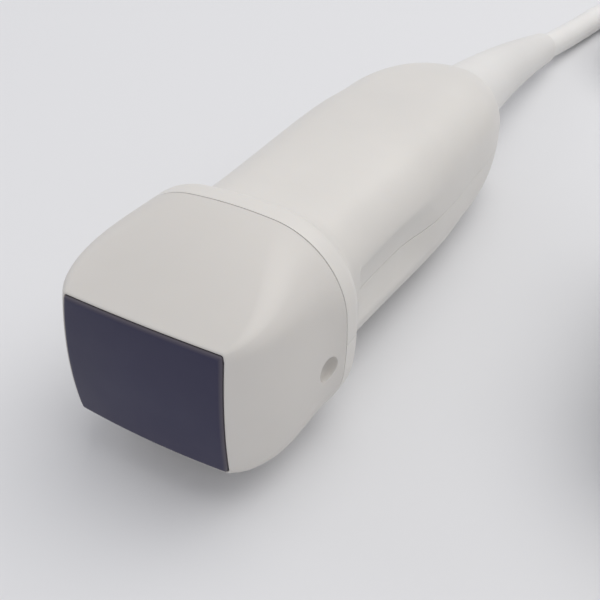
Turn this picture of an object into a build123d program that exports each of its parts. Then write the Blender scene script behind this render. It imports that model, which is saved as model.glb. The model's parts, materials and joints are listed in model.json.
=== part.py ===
from build123d import *
from collections import namedtuple
from math import atan2, cos, degrees, pi, radians, sin, sqrt, tan
import os

# A hand-held phased-array ultrasound probe with its cable, put away in a coil, and its connector.
# Lengths are in millimetres. X runs across the probe, +Y from the lens to the cable, +Z up.
# The probe lies on its collar and its tail, so its own axis is tilted a little to the floor.
# Station s is the distance along the probe's axis behind the lens corners.

# How far a cut reaches past what it cuts, and how far an added form sinks into its neighbour
OVERCUT = 1.0
SINK = 0.5

# Acoustic lens
LENS_WIDTH = 28.4
LENS_HEIGHT = 22.3
LENS_CORNER = 1.0
LENS_BOW = 0.2
LENS_EDGE = 1.5
LENS_CROWN_ACROSS = 0.5
LENS_CROWN_UP = 0.95
LENS_EASE = 0.35
LENS_GAP = 0.08

# Nose shell
NOSE_LENGTH = 23.5
NOSE_RIM = 0.45
COLLAR_WIDTH = 42.2
COLLAR_HEIGHT = 38.2
COLLAR_CORNER = 14.5
COLLAR_BOW = 2.9
NOSE_FLARE_ACROSS = 0.9
NOSE_FLARE_ACROSS_END = 0.36
NOSE_FLARE_UP = 0.45
NOSE_FLARE_UP_END = 0.0
NOSE_CORNER_POWER = 1.15
NOSE_SHARES = (0.0, 0.08, 0.2, 0.36, 0.56, 0.78, 1.0)
CAVITY_STEPS = 4
LEDGE_WIDTH = 2.0
LEDGE_THICKNESS = 1.5
NOSE_WALL = 2.0
SPIGOT_LENGTH = 3.0
SPIGOT_WALL = 1.7
SPIGOT_GAP = 0.1
DIMPLE_DIAMETER = 4.4
DIMPLE_DEPTH = 1.7
DIMPLE_CROWN = 0.6
DIMPLE_STATION = 19.6
DIMPLE_DROP = 2.4

# Seal between nose and handle
SEAL_SETBACK = 0.7
SEAL_WIDTH = 1.2
SEAL_DEPTH = 0.9
SEAL_GAP = 0.05

# Handle shells
COLLAR_FLAT = 2.8
COLLAR_LENGTH = 4.9
KNEE_SHARE = 0.75
KNEE_SLOPE = -0.27
BODY_STEPS = 14
BODY_SPREAD = 2.0
DOME_STEPS = 8
NECK_SETBACK = 10.0
NECK_WIDTH = 34.0
NECK_HEIGHT = 30.9
BELLY_TO_TAIL = 13.0
BELLY_WIDTH = 36.6
BELLY_HEIGHT = 32.2
DOME_LENGTH = 28.3
TAIL_WIDTH = 35.6
TAIL_HEIGHT = 31.8
HANDLE_LENGTH = 95.3
HANDLE_CORNER = 11.0
HANDLE_BOW = 1.9
DOME_ROOT_RADIUS = 9.6
END_ROUNDNESS = 0.92
END_BOW = 0.45
LEAST_CORNER = 1.0
CAVITY_END_INSET = 1.0
TOP_WALL = 2.4
SIDE_WALL = 3.6
POCKET_WALL = 2.4
POCKET_DEPTH = 3.3
TONGUE_INSET = 2.0
TONGUE_WIDTH = 1.4
TONGUE_HEIGHT = 0.8
TONGUE_GAP = 0.15
SEAM_STEPS = 4

# Finger groove on each side of the handle
GROOVE_DEPTH = 1.3
GROOVE_HALF_HEIGHT = 6.5
GROOVE_HALF_LENGTH = 27.0
GROOVE_CENTRE = 17.0
GROOVE_START = 12.5

# Array stack
ARRAY_WIDTH = 23.6
ARRAY_HEIGHT = 17.0
MATCHING_THICKNESS = 0.3
PIEZO_THICKNESS = 0.6
ELEMENTS = 64
KERF = 0.06
KERF_DEPTH = 0.5
BACKING_THICKNESS = 10.0
FLEX_WIDTH = 22.0
FLEX_THICKNESS = 0.2
CARRIER_WALL = 1.6
CARRIER_PLATE = 1.5
CARRIER_EASE = 1.5
TONGUE_PLATE_WIDTH = 12.0
TONGUE_PLATE_THICKNESS = 2.0

# Boards in the handle
CHASSIS_START = 31.5
CHASSIS_TO_END = 29.3
CHASSIS_WIDTH = 23.0
RAIL_WIDTH = 1.6
RAIL_HEIGHT = 12.0
WEB_THICKNESS = 1.6
BOARD_THICKNESS = 1.0
BOARD_CONNECTOR_LENGTH = 4.5
BOARD_CONNECTOR_HEIGHT = 2.2
BOARD_CONNECTOR_INSET = 1.0
FLEX_INSET = 1.5
BOARD_SCREW_RADIUS = 0.5
BOARD_SCREW_HEAD = 1.0
BOARD_SCREW_HEAD_HEIGHT = 0.6
BOARD_SCREW_LENGTH = 3.2
SCREW_GAP = 0.08
SCREW_INSET = 3.0
SCREW_CLEARANCE = 0.5
SHIELD_WIDTH = 19.0
SHIELD_HEIGHT = 3.4
SHIELD_SHEET = 0.3
SHIELD_SETBACK = 8.0
SHIELD_FRONT_SETBACK = 12.0
RIB_THICKNESS = 1.6
RIB_GAP = 0.1
RIB_FRONT_SETBACK = 6.5
RIB_REAR_SETBACK = 9.5
RIB_ROOT = 0.4
RIB_CLEARANCE = 0.5
BUNDLE_START_WIDTH = 16.0
BUNDLE_START_CORNER = 2.0
BUNDLE_WAIST_WIDTH = 11.0
BUNDLE_WAIST_DROP = 4.0
BUNDLE_CORNER = 2.6

# Cable, its ferrule and the strain relief
CABLE_DIAMETER = 7.6
CABLE_JACKET = 1.0
BORE_GAP = 0.1
FERRULE_TO_END = 18.3
CABLE_END_SETBACK = 1.0
FERRULE_LENGTH = 9.0
FERRULE_WALL = 0.8
FERRULE_COLLAR = 1.6
FERRULE_COLLAR_RADIUS = 6.4
FERRULE_COLLAR_SETBACK = 2.4
SADDLE_THICKNESS = 1.4
RELIEF_LENGTH = 70.0
RELIEF_BEND = 8.2
RELIEF_SIDE = 31.0
RELIEF_TIP_RADIUS = 4.7
RELIEF_ROOT_SLOPE = -0.075
RELIEF_TIP_SLOPE = -0.055
RELIEF_SHARES = (0.0, 0.16, 0.36, 0.58, 0.8, 1.0)
RELIEF_NECK_RADIUS = 7.0
RELIEF_FLANGE_RADIUS = 8.3
RELIEF_FLANGE = 1.6
RELIEF_GAP = 0.1

# Put-away coil: lanes side by side in full layers; on top one inner turn, then part of a middle one
COIL_CENTRE = (70.0, 126.0)
COIL_MEAN_RADIUS = 38.6
ENTRY_ANGLE = 105.0
DEPARTURE_ANGLE = -25.0
COIL_LANES = 3
COIL_LAYERS = 2
COIL_ROUNDNESS = 0.8
NOTCH_LENGTH = 36.0
TIE_WIDTH = 16.0
TIE_THICKNESS = 0.9
TIE_GAP = 0.1
TIE_CORNER = 0.3
TIE_ANGLE = 60.0
FLOOR_GAP = 0.05
LEAD_DIRECTION = 79.2
ROUTE_EASE = 0.45
TAIL_RUN = 29.3
TAIL_RISE = 1.2
TAIL_GAP = 0.2
TAIL_DROP_LENGTH = 20.0
TAIL_APPROACH = 16.0

# Connector at the far end of the cable
CONNECTOR_WIDTH = 62.0
CONNECTOR_LENGTH = 72.0
CONNECTOR_THICKNESS = 27.0
CONNECTOR_CORNER = 8.0
CONNECTOR_EASE = 4.0
CONNECTOR_SHOULDER = 16.0
CONNECTOR_REAR_WIDTH = 34.0
CONNECTOR_WALL = 2.5
CONNECTOR_RELIEF_LENGTH = 30.0
CONNECTOR_RELIEF_ROOT = 7.5
CONNECTOR_RELIEF_WALL = 0.7
CONNECTOR_RELIEF_TAIL = 3.0
GRIP_RIBS = 6
GRIP_START = 8.0
GRIP_RIB_PITCH = 4.0
GRIP_RIB_DEPTH = 0.8
GRIP_RIB_WIDTH = 1.6
SHROUD_WIDTH = 48.0
SHROUD_HEIGHT = 18.0
SHROUD_WALL = 1.2
SHROUD_REACH = 7.0
SHROUD_RECESS = 3.0
SHROUD_CORNER = 2.5
SHROUD_FLANGE = 3.4
SHROUD_LIP = 1.2
SHROUD_TAIL = 4.0
CONNECTOR_BOARD_THICKNESS = 1.6
CONNECTOR_BOARD_SIDE_INSET = 4.0
CONNECTOR_BOARD_INSET = 1.0
CONTACT_COLUMNS = 20
CONTACT_ROWS = 6
CONTACT_PITCH = 2.2
CONTACT_SIZE = 1.1
CONTACT_PROUD = 0.9
CONTACT_GAP = 0.2
CASE_SCREW_RADIUS = 1.25
CASE_SCREW_HEAD = 2.4
CASE_SCREW_HEAD_HEIGHT = 1.8
CASE_SCREW_SINK = 0.6
CASE_SCREW_REACH = 3.0
POST_INSET = 7.0
POST_REAR = 4.0
POST_FRONT = 14.0
POST_WALL = 1.2
POST_ROOT = 0.1

os.makedirs("parts", exist_ok=True)

Station = namedtuple("Station", "s half_w half_h corner bow_w bow_h")


def blend(start, end, t):
    """Value a share t of the way from start to end."""
    return start + (end - start) * t


def eased(start, end, slope_start, slope_end, length, t):
    """Cubic that leaves start and meets end with the given slopes."""
    rise = 3 * t**2 - 2 * t**3
    return (
        start + (end - start) * rise
        + length * slope_start * (t**3 - 2 * t**2 + t)
        + length * slope_end * (t**3 - t**2)
    )


# Outer stations of the handle, from the parting line to the dome's end
PARTING = NOSE_LENGTH
DOME_END = PARTING + HANDLE_LENGTH
TAIL_SETBACK = HANDLE_LENGTH - DOME_LENGTH
BELLY_SETBACK = TAIL_SETBACK - BELLY_TO_TAIL
HALF_COLLAR = (COLLAR_WIDTH / 2, COLLAR_HEIGHT / 2)
HALF_NECK = (NECK_WIDTH / 2, NECK_HEIGHT / 2)
HALF_TAIL = (TAIL_WIDTH / 2, TAIL_HEIGHT / 2)


def handle_station(setback, half_w, half_h, roundness=0.0):
    """Station of the handle; roundness runs from 0 in the grip to 1 at the dome's circular end."""
    least = min(half_w, half_h)
    round_corner = END_ROUNDNESS * least
    corner = min(blend(HANDLE_CORNER, round_corner, roundness), round_corner)
    bow = blend(HANDLE_BOW, END_BOW * least, roundness)
    return Station(PARTING + setback, half_w, half_h, corner, bow, bow)


def setbacks(start, end, count, power=1.0):
    """Distances from start to end, closer together at the start when the power is over 1."""
    return [blend(start, end, (step / count) ** power) for step in range(count + 1)]


def flare_share(setback):
    """Share of the collar's size left at a setback: round rear edge, then a hollow flare."""
    knee = COLLAR_LENGTH - COLLAR_FLAT
    if setback < COLLAR_LENGTH:
        return eased(1, KNEE_SHARE, 0, KNEE_SLOPE, knee, (setback - COLLAR_FLAT) / knee)
    if setback < NECK_SETBACK:
        flare = NECK_SETBACK - COLLAR_LENGTH
        return eased(KNEE_SHARE, 0, KNEE_SLOPE, 0, flare, (setback - COLLAR_LENGTH) / flare)
    return 0.0


def swell(setback, neck, belly, tail):
    """Half size of the grip at a setback: neck, widest belly, tail."""
    if setback < BELLY_SETBACK:
        t = max(0.0, (setback - NECK_SETBACK) / (BELLY_SETBACK - NECK_SETBACK))
        return eased(neck, belly, 0, 0, 1, t)
    return eased(belly, tail, 0, 0, 1, (setback - BELLY_SETBACK) / (TAIL_SETBACK - BELLY_SETBACK))


def body_station(setback):
    """Station between the collar's flat band and the tail."""
    share = flare_share(setback)
    half_w = blend(swell(setback, HALF_NECK[0], BELLY_WIDTH / 2, HALF_TAIL[0]), HALF_COLLAR[0], share)
    half_h = blend(swell(setback, HALF_NECK[1], BELLY_HEIGHT / 2, HALF_TAIL[1]), HALF_COLLAR[1], share)
    corner = blend(HANDLE_CORNER, COLLAR_CORNER, share)
    bow = blend(HANDLE_BOW, COLLAR_BOW, share)
    return Station(PARTING + setback, half_w, half_h, corner, bow, bow)


def dome_stations(end, root_radius, tail_w, tail_h):
    """Quarter-ellipse from behind the tail to the dome's end."""
    rows = []
    for angle in setbacks(0, 90, DOME_STEPS)[1:]:
        fall = cos(radians(angle))
        setback = blend(TAIL_SETBACK, end, sin(radians(angle)))
        half_w = root_radius + (tail_w - root_radius) * fall
        half_h = root_radius + (tail_h - root_radius) * fall
        rows.append(handle_station(setback, half_w, half_h, 1 - fall))
    return rows


def inset(station, side, top):
    """The same station drawn in by a wall."""
    corner = max(station.corner - side, LEAST_CORNER)
    return Station(station.s, station.half_w - side, station.half_h - top,
                   corner, station.bow_w, station.bow_h)


BODY = [body_station(setback) for setback in setbacks(COLLAR_FLAT, TAIL_SETBACK, BODY_STEPS, BODY_SPREAD)]
OUTER = BODY + dome_stations(HANDLE_LENGTH, DOME_ROOT_RADIUS, *HALF_TAIL)

# Resting pose: the floor touches the collar's lowest edge and the tail
COLLAR_EDGE = OUTER[0]
REST_TILT = min(
    atan2(COLLAR_EDGE.half_h - row.half_h, row.s - COLLAR_EDGE.s)
    for row in OUTER if row.s > PARTING + NECK_SETBACK
)
REST_HEIGHT = max(row.half_h * cos(REST_TILT) + row.s * sin(REST_TILT) for row in OUTER)

# Length of the object without its free cable, from the lens's crown to the relief's tip
CROWN = LENS_CROWN_ACROSS + LENS_CROWN_UP
BEND = radians(RELIEF_BEND)
BEND_RADIUS = RELIEF_LENGTH / BEND
BEND_OUT = BEND_RADIUS * (1 - cos(BEND))
BEND_ALONG = BEND_RADIUS * sin(BEND)
TIP_DOWN = BEND_OUT * cos(radians(RELIEF_SIDE))
TIP_Y = (DOME_END + BEND_ALONG) * cos(REST_TILT) - TIP_DOWN * sin(REST_TILT)
TIP_Y += RELIEF_TIP_RADIUS * sin(REST_TILT + BEND)
FRONT_Y = -CROWN * cos(REST_TILT)
LENS_Y = -(TIP_Y + FRONT_Y) / 2

# Planes of the tilted probe: PROBE faces forward with its origin between the lens corners
AXIS_DIR = Vector(0, cos(REST_TILT), -sin(REST_TILT))
UP_DIR = Vector(0, sin(REST_TILT), cos(REST_TILT))
ORIGIN = Vector(0, LENS_Y, REST_HEIGHT)
PROBE = Plane(origin=ORIGIN, x_dir=(1, 0, 0), z_dir=AXIS_DIR * -1)
MIDDLE = Plane(origin=ORIGIN, x_dir=(1, 0, 0), z_dir=UP_DIR)
SIDE = Plane(origin=ORIGIN, x_dir=AXIS_DIR, z_dir=(1, 0, 0))


def at_station(s):
    """Plane across the probe at station s, facing forward."""
    return PROBE.offset(-s)


def arc_curve(centre, start, end):
    """Cubic that follows the arc from start to end, counterclockwise round the centre."""
    out_start = start - centre
    out_end = end - centre
    reach = 4 / 3 * tan(radians(out_start.get_angle(out_end)) / 4)
    lead = Vector(-out_start.Y, out_start.X) * reach
    trail = Vector(-out_end.Y, out_end.X) * reach
    Bezier(start, start + lead, end - trail, end)


def true_arc(centre, start, end):
    """Circular arc from start to end round the centre."""
    middle = ((start - centre) + (end - centre)).normalized() * (start - centre).length
    ThreePointArc(start, centre + middle, end)


def flipped(point, x_sign, y_sign):
    """Point mirrored about the axes whose sign is -1."""
    return Vector(point.X * x_sign, point.Y * y_sign)


def crowned_outline(half_w, half_h, bow_w, bow_h, corner, curve=arc_curve):
    """Rectangle with four bowed sides and four tangent corner arcs, drawn in the current sketch."""
    top_radius = (half_w**2 + bow_h**2) / (2 * bow_h)
    side_radius = (half_h**2 + bow_w**2) / (2 * bow_w)
    top_centre = Vector(0, half_h - top_radius)
    side_centre = Vector(half_w - side_radius, 0)
    reach_top = top_radius - corner
    reach_side = side_radius - corner
    between = side_centre - top_centre
    along = (reach_top**2 - reach_side**2 + between.length**2) / (2 * between.length)
    across = sqrt(reach_top**2 - along**2)
    toward = between.normalized()
    foot = top_centre + toward * along
    aside = Vector(-toward.Y, toward.X) * across
    centre = max(foot + aside, foot - aside, key=lambda point: point.X + point.Y)
    on_top = top_centre + (centre - top_centre).normalized() * top_radius
    on_side = side_centre + (centre - side_centre).normalized() * side_radius
    right = [on_side, on_top]
    left = [flipped(on_top, -1, 1), flipped(on_side, -1, 1)]
    points = right + left + [flipped(point, 1, -1) for point in reversed(right + left)]
    upper = [centre, top_centre, flipped(centre, -1, 1)]
    lower = [flipped(point, 1, -1) for point in reversed(upper)]
    centres = upper + [flipped(side_centre, -1, 1)] + lower + [side_centre]
    with BuildLine() as outline:
        for middle, start, end in zip(centres, points, points[1:] + points[:1]):
            curve(middle, start, end)
    make_face(outline.edges())


def lofted(stations):
    """Smooth solid through a row of stations."""
    with BuildPart() as body:
        for row in stations:
            with BuildSketch(at_station(row.s)):
                crowned_outline(row.half_w, row.half_h, row.bow_w, row.bow_h, row.corner)
        loft()
    return body.part


def prism(s_front, s_back, half_w, half_h, bow, corner, curve=true_arc):
    """Straight solid of crowned outline between two stations."""
    with BuildPart() as body:
        with BuildSketch(at_station(s_back)):
            crowned_outline(half_w, half_h, bow, bow, corner, curve)
        extrude(amount=s_back - s_front)
    return body.part


def block(s_front, s_back, width, z_low, z_high, x_mid=0.0):
    """Box between two stations and two heights over the probe's axis."""
    with BuildPart() as body:
        with BuildSketch(at_station(s_back)):
            with Locations((x_mid, (z_low + z_high) / 2)):
                Rectangle(width, z_high - z_low)
        extrude(amount=s_back - s_front)
    return body.part


def rod(s_front, s_back, radius):
    """Round bar along the probe's axis."""
    with BuildPart() as body:
        with BuildSketch(at_station(s_back)):
            Circle(radius)
        extrude(amount=s_back - s_front)
    return body.part


def save(body, name):
    """Label the piece and write its file."""
    body.label = name
    export_step(body, f"parts/{name}.step")


# Crowned front that trims lens and nose alike: an arc turned about an upright axis behind it
CROWN_RADIUS_ACROSS = (LENS_WIDTH / 2) ** 2 / (2 * LENS_CROWN_ACROSS)
CROWN_RADIUS_UP = (LENS_HEIGHT / 2) ** 2 / (2 * LENS_CROWN_UP)
ENVELOPE_HALF = COLLAR_HEIGHT / 2 + OVERCUT
ENVELOPE_TURN = 8.0
envelope_fall = CROWN_RADIUS_UP - sqrt(CROWN_RADIUS_UP**2 - ENVELOPE_HALF**2)
envelope_back = PARTING + COLLAR_LENGTH

with BuildPart() as envelope:
    with BuildSketch(SIDE):
        with BuildLine():
            low = (-CROWN + envelope_fall, -ENVELOPE_HALF)
            high = (-CROWN + envelope_fall, ENVELOPE_HALF)
            ThreePointArc(low, (-CROWN, 0), high)
            Polyline(high, (envelope_back, ENVELOPE_HALF), (envelope_back, -ENVELOPE_HALF), low)
        make_face()
    pivot = ORIGIN + AXIS_DIR * (CROWN_RADIUS_ACROSS - CROWN)
    revolve(axis=Axis(pivot, UP_DIR), revolution_arc=ENVELOPE_TURN)
    mirror(about=SIDE)

# Nose shell: lens pocket and ledge in front, cavity behind, spigot into the handle
LENS_HALF = (LENS_WIDTH / 2, LENS_HEIGHT / 2)
RIM_HALF = (LENS_HALF[0] + NOSE_RIM, LENS_HALF[1] + NOSE_RIM)


def nose_station(t):
    """Outer station of the nose at a share t of its length."""
    half_w = eased(RIM_HALF[0], HALF_COLLAR[0], NOSE_FLARE_ACROSS, NOSE_FLARE_ACROSS_END, NOSE_LENGTH, t)
    half_h = eased(RIM_HALF[1], HALF_COLLAR[1], NOSE_FLARE_UP, NOSE_FLARE_UP_END, NOSE_LENGTH, t)
    corner = blend(LENS_CORNER + NOSE_RIM, COLLAR_CORNER, t**NOSE_CORNER_POWER)
    bow = blend(LENS_BOW, COLLAR_BOW, t)
    return Station(t * NOSE_LENGTH, half_w, half_h, corner, bow, bow)


SPIGOT_HALF = (HALF_COLLAR[0] - POCKET_WALL - SPIGOT_GAP, HALF_COLLAR[1] - POCKET_WALL - SPIGOT_GAP)
SPIGOT_CORNER = COLLAR_CORNER - POCKET_WALL - SPIGOT_GAP
CAVITY_START = LENS_EDGE + LEDGE_THICKNESS
cavity_front = inset(nose_station(CAVITY_START / NOSE_LENGTH), NOSE_WALL, NOSE_WALL)
cavity_back = Station(PARTING + SPIGOT_LENGTH + OVERCUT, SPIGOT_HALF[0] - SPIGOT_WALL,
                      SPIGOT_HALF[1] - SPIGOT_WALL, SPIGOT_CORNER - SPIGOT_WALL, COLLAR_BOW, COLLAR_BOW)
nose_rows = [
    Station(*[blend(low, high, t) for low, high in zip(cavity_front, cavity_back)])
    for t in setbacks(0, 1, CAVITY_STEPS)
]

front_row = nose_station(0.0)
nose_tube = prism(-CROWN - OVERCUT, 0, front_row.half_w, front_row.half_h, front_row.bow_w, front_row.corner,
                  arc_curve)
nose_outer = lofted([nose_station(t) for t in NOSE_SHARES])
nose_cavity = lofted(nose_rows)
spigot = prism(PARTING - SINK, PARTING + SPIGOT_LENGTH, *SPIGOT_HALF, COLLAR_BOW, SPIGOT_CORNER)
lens_pocket = prism(-CROWN - OVERCUT, LENS_EDGE, LENS_HALF[0] + LENS_GAP, LENS_HALF[1] + LENS_GAP,
                    LENS_BOW, LENS_CORNER + LENS_GAP)
ledge_window = block(LENS_EDGE - OVERCUT, CAVITY_START + OVERCUT, LENS_WIDTH - 2 * LEDGE_WIDTH,
                     -LENS_HALF[1] + LEDGE_WIDTH, LENS_HALF[1] - LEDGE_WIDTH)
SEAL_FLOOR = (SPIGOT_HALF[0] - SEAL_DEPTH, SPIGOT_HALF[1] - SEAL_DEPTH)
seal_front = PARTING + SEAL_SETBACK
seal_back = seal_front + SEAL_WIDTH
seal_band = prism(seal_front, seal_back, SPIGOT_HALF[0] + OVERCUT, SPIGOT_HALF[1] + OVERCUT, COLLAR_BOW,
                  SPIGOT_CORNER + OVERCUT)
seal_core = prism(seal_front - OVERCUT, seal_back + OVERCUT, *SEAL_FLOOR, COLLAR_BOW,
                  SPIGOT_CORNER - SEAL_DEPTH)

dimple_x = nose_station(DIMPLE_STATION / NOSE_LENGTH).half_w
dimple_centre = ORIGIN + AXIS_DIR * DIMPLE_STATION - UP_DIR * DIMPLE_DROP
DIMPLE = Plane(origin=dimple_centre + Vector(dimple_x, 0, 0), x_dir=AXIS_DIR, z_dir=(1, 0, 0))
dimple_radius = DIMPLE_DIAMETER / 2
dimple_ball = (dimple_radius**2 + DIMPLE_CROWN**2) / (2 * DIMPLE_CROWN)

with BuildPart() as dimple_cut:
    with BuildSketch(DIMPLE.offset(-DIMPLE_DEPTH - DIMPLE_CROWN)):
        Circle(dimple_radius)
    extrude(amount=DIMPLE_DEPTH + DIMPLE_CROWN + OVERCUT)
    with Locations(DIMPLE.offset(-DIMPLE_DEPTH - DIMPLE_CROWN + dimple_ball)):
        Sphere(dimple_ball, mode=Mode.INTERSECT)

with BuildPart() as nose_shell:
    add(nose_outer)
    add(dimple_cut.part, mode=Mode.SUBTRACT)
    add(nose_tube)
    add(envelope.part, mode=Mode.INTERSECT)
    add(spigot)
    add(nose_cavity, mode=Mode.SUBTRACT)
    add(ledge_window, mode=Mode.SUBTRACT)
    add(lens_pocket, mode=Mode.SUBTRACT)
    add(seal_band - seal_core, mode=Mode.SUBTRACT)
save(nose_shell.part, "nose_shell")

# Acoustic lens: a plate with a crowned face and eased edges, seated on the ledge
with BuildPart() as acoustic_lens:
    with BuildSketch(at_station(LENS_EDGE)):
        crowned_outline(*LENS_HALF, LENS_BOW, LENS_BOW, LENS_CORNER, true_arc)
    extrude(amount=LENS_EDGE + CROWN + OVERCUT)
    add(envelope.part, mode=Mode.INTERSECT)
    front_face = acoustic_lens.faces().sort_by(Axis(ORIGIN, AXIS_DIR))[0]
    fillet(front_face.edges(), LENS_EASE)
save(acoustic_lens.part, "acoustic_lens")

# Seal ring in the spigot's groove
with BuildPart() as nose_seal:
    add(prism(seal_front + SEAL_GAP, seal_back - SEAL_GAP, SPIGOT_HALF[0] + SEAL_GAP,
              SPIGOT_HALF[1] + SEAL_GAP, COLLAR_BOW, SPIGOT_CORNER + SEAL_GAP))
    add(prism(seal_front - OVERCUT, seal_back + OVERCUT, SEAL_FLOOR[0] + SEAL_GAP, SEAL_FLOOR[1] + SEAL_GAP,
              COLLAR_BOW, SPIGOT_CORNER - SEAL_DEPTH + SEAL_GAP), mode=Mode.SUBTRACT)
save(nose_seal.part, "nose_seal")

# Array stack behind the lens
stack = LENS_EDGE
HALF_ARRAY = ARRAY_HEIGHT / 2
with BuildPart() as matching_layer_outer:
    add(block(stack, stack + MATCHING_THICKNESS, ARRAY_WIDTH, -HALF_ARRAY, HALF_ARRAY))
save(matching_layer_outer.part, "matching_layer_outer")
stack += MATCHING_THICKNESS

with BuildPart() as matching_layer_inner:
    add(block(stack, stack + MATCHING_THICKNESS, ARRAY_WIDTH, -HALF_ARRAY, HALF_ARRAY))
save(matching_layer_inner.part, "matching_layer_inner")
stack += MATCHING_THICKNESS

element_pitch = ARRAY_WIDTH / ELEMENTS
with BuildPart() as piezo_array:
    add(block(stack, stack + PIEZO_THICKNESS, ARRAY_WIDTH, -HALF_ARRAY, HALF_ARRAY))
    with BuildSketch(at_station(stack)):
        with GridLocations(element_pitch, 0, ELEMENTS - 1, 1):
            Rectangle(KERF, ARRAY_HEIGHT)
    extrude(amount=-KERF_DEPTH, mode=Mode.SUBTRACT)
save(piezo_array.part, "piezo_array")
stack += PIEZO_THICKNESS

backing_back = stack + BACKING_THICKNESS
with BuildPart() as backing_block:
    add(block(stack, backing_back, ARRAY_WIDTH, -HALF_ARRAY, HALF_ARRAY))
save(backing_block.part, "backing_block")

# Carrier: a frame round the backing, a rear plate, and a tongue that leads the heat to the chassis
FLEX_TOP = HALF_ARRAY + FLEX_THICKNESS
carrier_half_w = ARRAY_WIDTH / 2 + CARRIER_WALL
carrier_half_h = FLEX_TOP + CARRIER_WALL
with BuildPart() as array_carrier:
    add(block(CAVITY_START, backing_back, 2 * carrier_half_w, -carrier_half_h, carrier_half_h))
    add(block(CAVITY_START - OVERCUT, backing_back + OVERCUT, ARRAY_WIDTH, -FLEX_TOP, FLEX_TOP),
        mode=Mode.SUBTRACT)
    add(block(backing_back, backing_back + CARRIER_PLATE, 2 * carrier_half_w, -HALF_ARRAY, HALF_ARRAY))
    fillet(array_carrier.edges().filter_by(Axis(ORIGIN, AXIS_DIR)).group_by(Axis.X)[-1], CARRIER_EASE)
    fillet(array_carrier.edges().filter_by(Axis(ORIGIN, AXIS_DIR)).group_by(Axis.X)[0], CARRIER_EASE)
    add(block(backing_back, CHASSIS_START, TONGUE_PLATE_WIDTH, -TONGUE_PLATE_THICKNESS / 2,
              TONGUE_PLATE_THICKNESS / 2))
save(array_carrier.part, "array_carrier")

# Boards on a chassis: two rails and a web between them
chassis_end = DOME_END - CHASSIS_TO_END
RAIL_TOP = RAIL_HEIGHT / 2
BOARD_TOP = RAIL_TOP + BOARD_THICKNESS
rail_x = CHASSIS_WIDTH / 2 - RAIL_WIDTH / 2
screw_stations = (CHASSIS_START + SCREW_INSET, chassis_end - SCREW_INSET)
SCREW_SPOTS = [(s, x) for s in screw_stations for x in (-rail_x, rail_x)]


def board_holes(radius, z_low, z_high):
    """Upright pins at the four board screws, between two heights over the axis."""
    with BuildPart() as pins:
        with BuildSketch(MIDDLE.offset(z_low)):
            for s, x in SCREW_SPOTS:
                with Locations((x, s)):
                    Circle(radius)
        extrude(amount=z_high - z_low)
    return pins.part


with BuildPart() as board_chassis:
    for side in (-1, 1):
        add(block(CHASSIS_START, chassis_end, RAIL_WIDTH, -RAIL_TOP, RAIL_TOP, side * rail_x))
    add(block(CHASSIS_START, chassis_end, CHASSIS_WIDTH, -WEB_THICKNESS / 2, WEB_THICKNESS / 2))
    add(board_holes(BOARD_SCREW_RADIUS + SCREW_GAP, -RAIL_TOP - OVERCUT, RAIL_TOP + OVERCUT),
        mode=Mode.SUBTRACT)
save(board_chassis.part, "board_chassis")

BOARD_SIDES = {"upper": 1, "lower": -1}


def sided(low, high, side):
    """Heights mirrored to the lower side when side is -1."""
    return (low, high) if side > 0 else (-high, -low)


connector_front = CHASSIS_START + SCREW_INSET + BOARD_SCREW_HEAD + SCREW_CLEARANCE
connector_back = connector_front + BOARD_CONNECTOR_LENGTH
for name, side in BOARD_SIDES.items():
    with BuildPart() as termination_board:
        add(block(CHASSIS_START, chassis_end, CHASSIS_WIDTH, *sided(RAIL_TOP, BOARD_TOP, side)))
        add(board_holes(BOARD_SCREW_RADIUS + SCREW_GAP,
                        *sided(RAIL_TOP - OVERCUT, BOARD_TOP + OVERCUT, side)), mode=Mode.SUBTRACT)
    save(termination_board.part, f"termination_board_{name}")

    # Plug socket that takes the flex circuit's end
    with BuildPart() as board_connector:
        add(block(connector_front, connector_back, SHIELD_WIDTH - 2 * BOARD_CONNECTOR_INSET,
                  *sided(BOARD_TOP, BOARD_TOP + BOARD_CONNECTOR_HEIGHT, side)))
    save(board_connector.part, f"board_connector_{name}")

    # Flex circuit from the array's edge along the backing to the socket
    with BuildPart() as flex_circuit:
        add(block(stack - PIEZO_THICKNESS, connector_front, SHIELD_WIDTH - 2 * FLEX_INSET,
                  *sided(HALF_ARRAY, FLEX_TOP, side)))
        add(block(stack - PIEZO_THICKNESS, backing_back, FLEX_WIDTH, *sided(HALF_ARRAY, FLEX_TOP, side)))
    save(flex_circuit.part, f"flex_circuit_{name}")

    # Shield can: folded sheet with an open rear end
    shield_front = CHASSIS_START + SHIELD_FRONT_SETBACK
    with BuildPart() as shield_can:
        add(block(shield_front, chassis_end - SHIELD_SETBACK, SHIELD_WIDTH,
                  *sided(BOARD_TOP, BOARD_TOP + SHIELD_HEIGHT, side)))
        add(block(shield_front + SHIELD_SHEET, chassis_end, SHIELD_WIDTH - 2 * SHIELD_SHEET,
                  *sided(BOARD_TOP - OVERCUT, BOARD_TOP + SHIELD_HEIGHT - SHIELD_SHEET, side)),
            mode=Mode.SUBTRACT)
    save(shield_can.part, f"shield_can_{name}")

with BuildPart() as board_screws:
    for side in (1, -1):
        add(board_holes(BOARD_SCREW_HEAD, *sided(BOARD_TOP, BOARD_TOP + BOARD_SCREW_HEAD_HEIGHT, side)))
        add(board_holes(BOARD_SCREW_RADIUS, *sided(BOARD_TOP - BOARD_SCREW_LENGTH, BOARD_TOP, side)))
save(board_screws.part, "board_screws")

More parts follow.
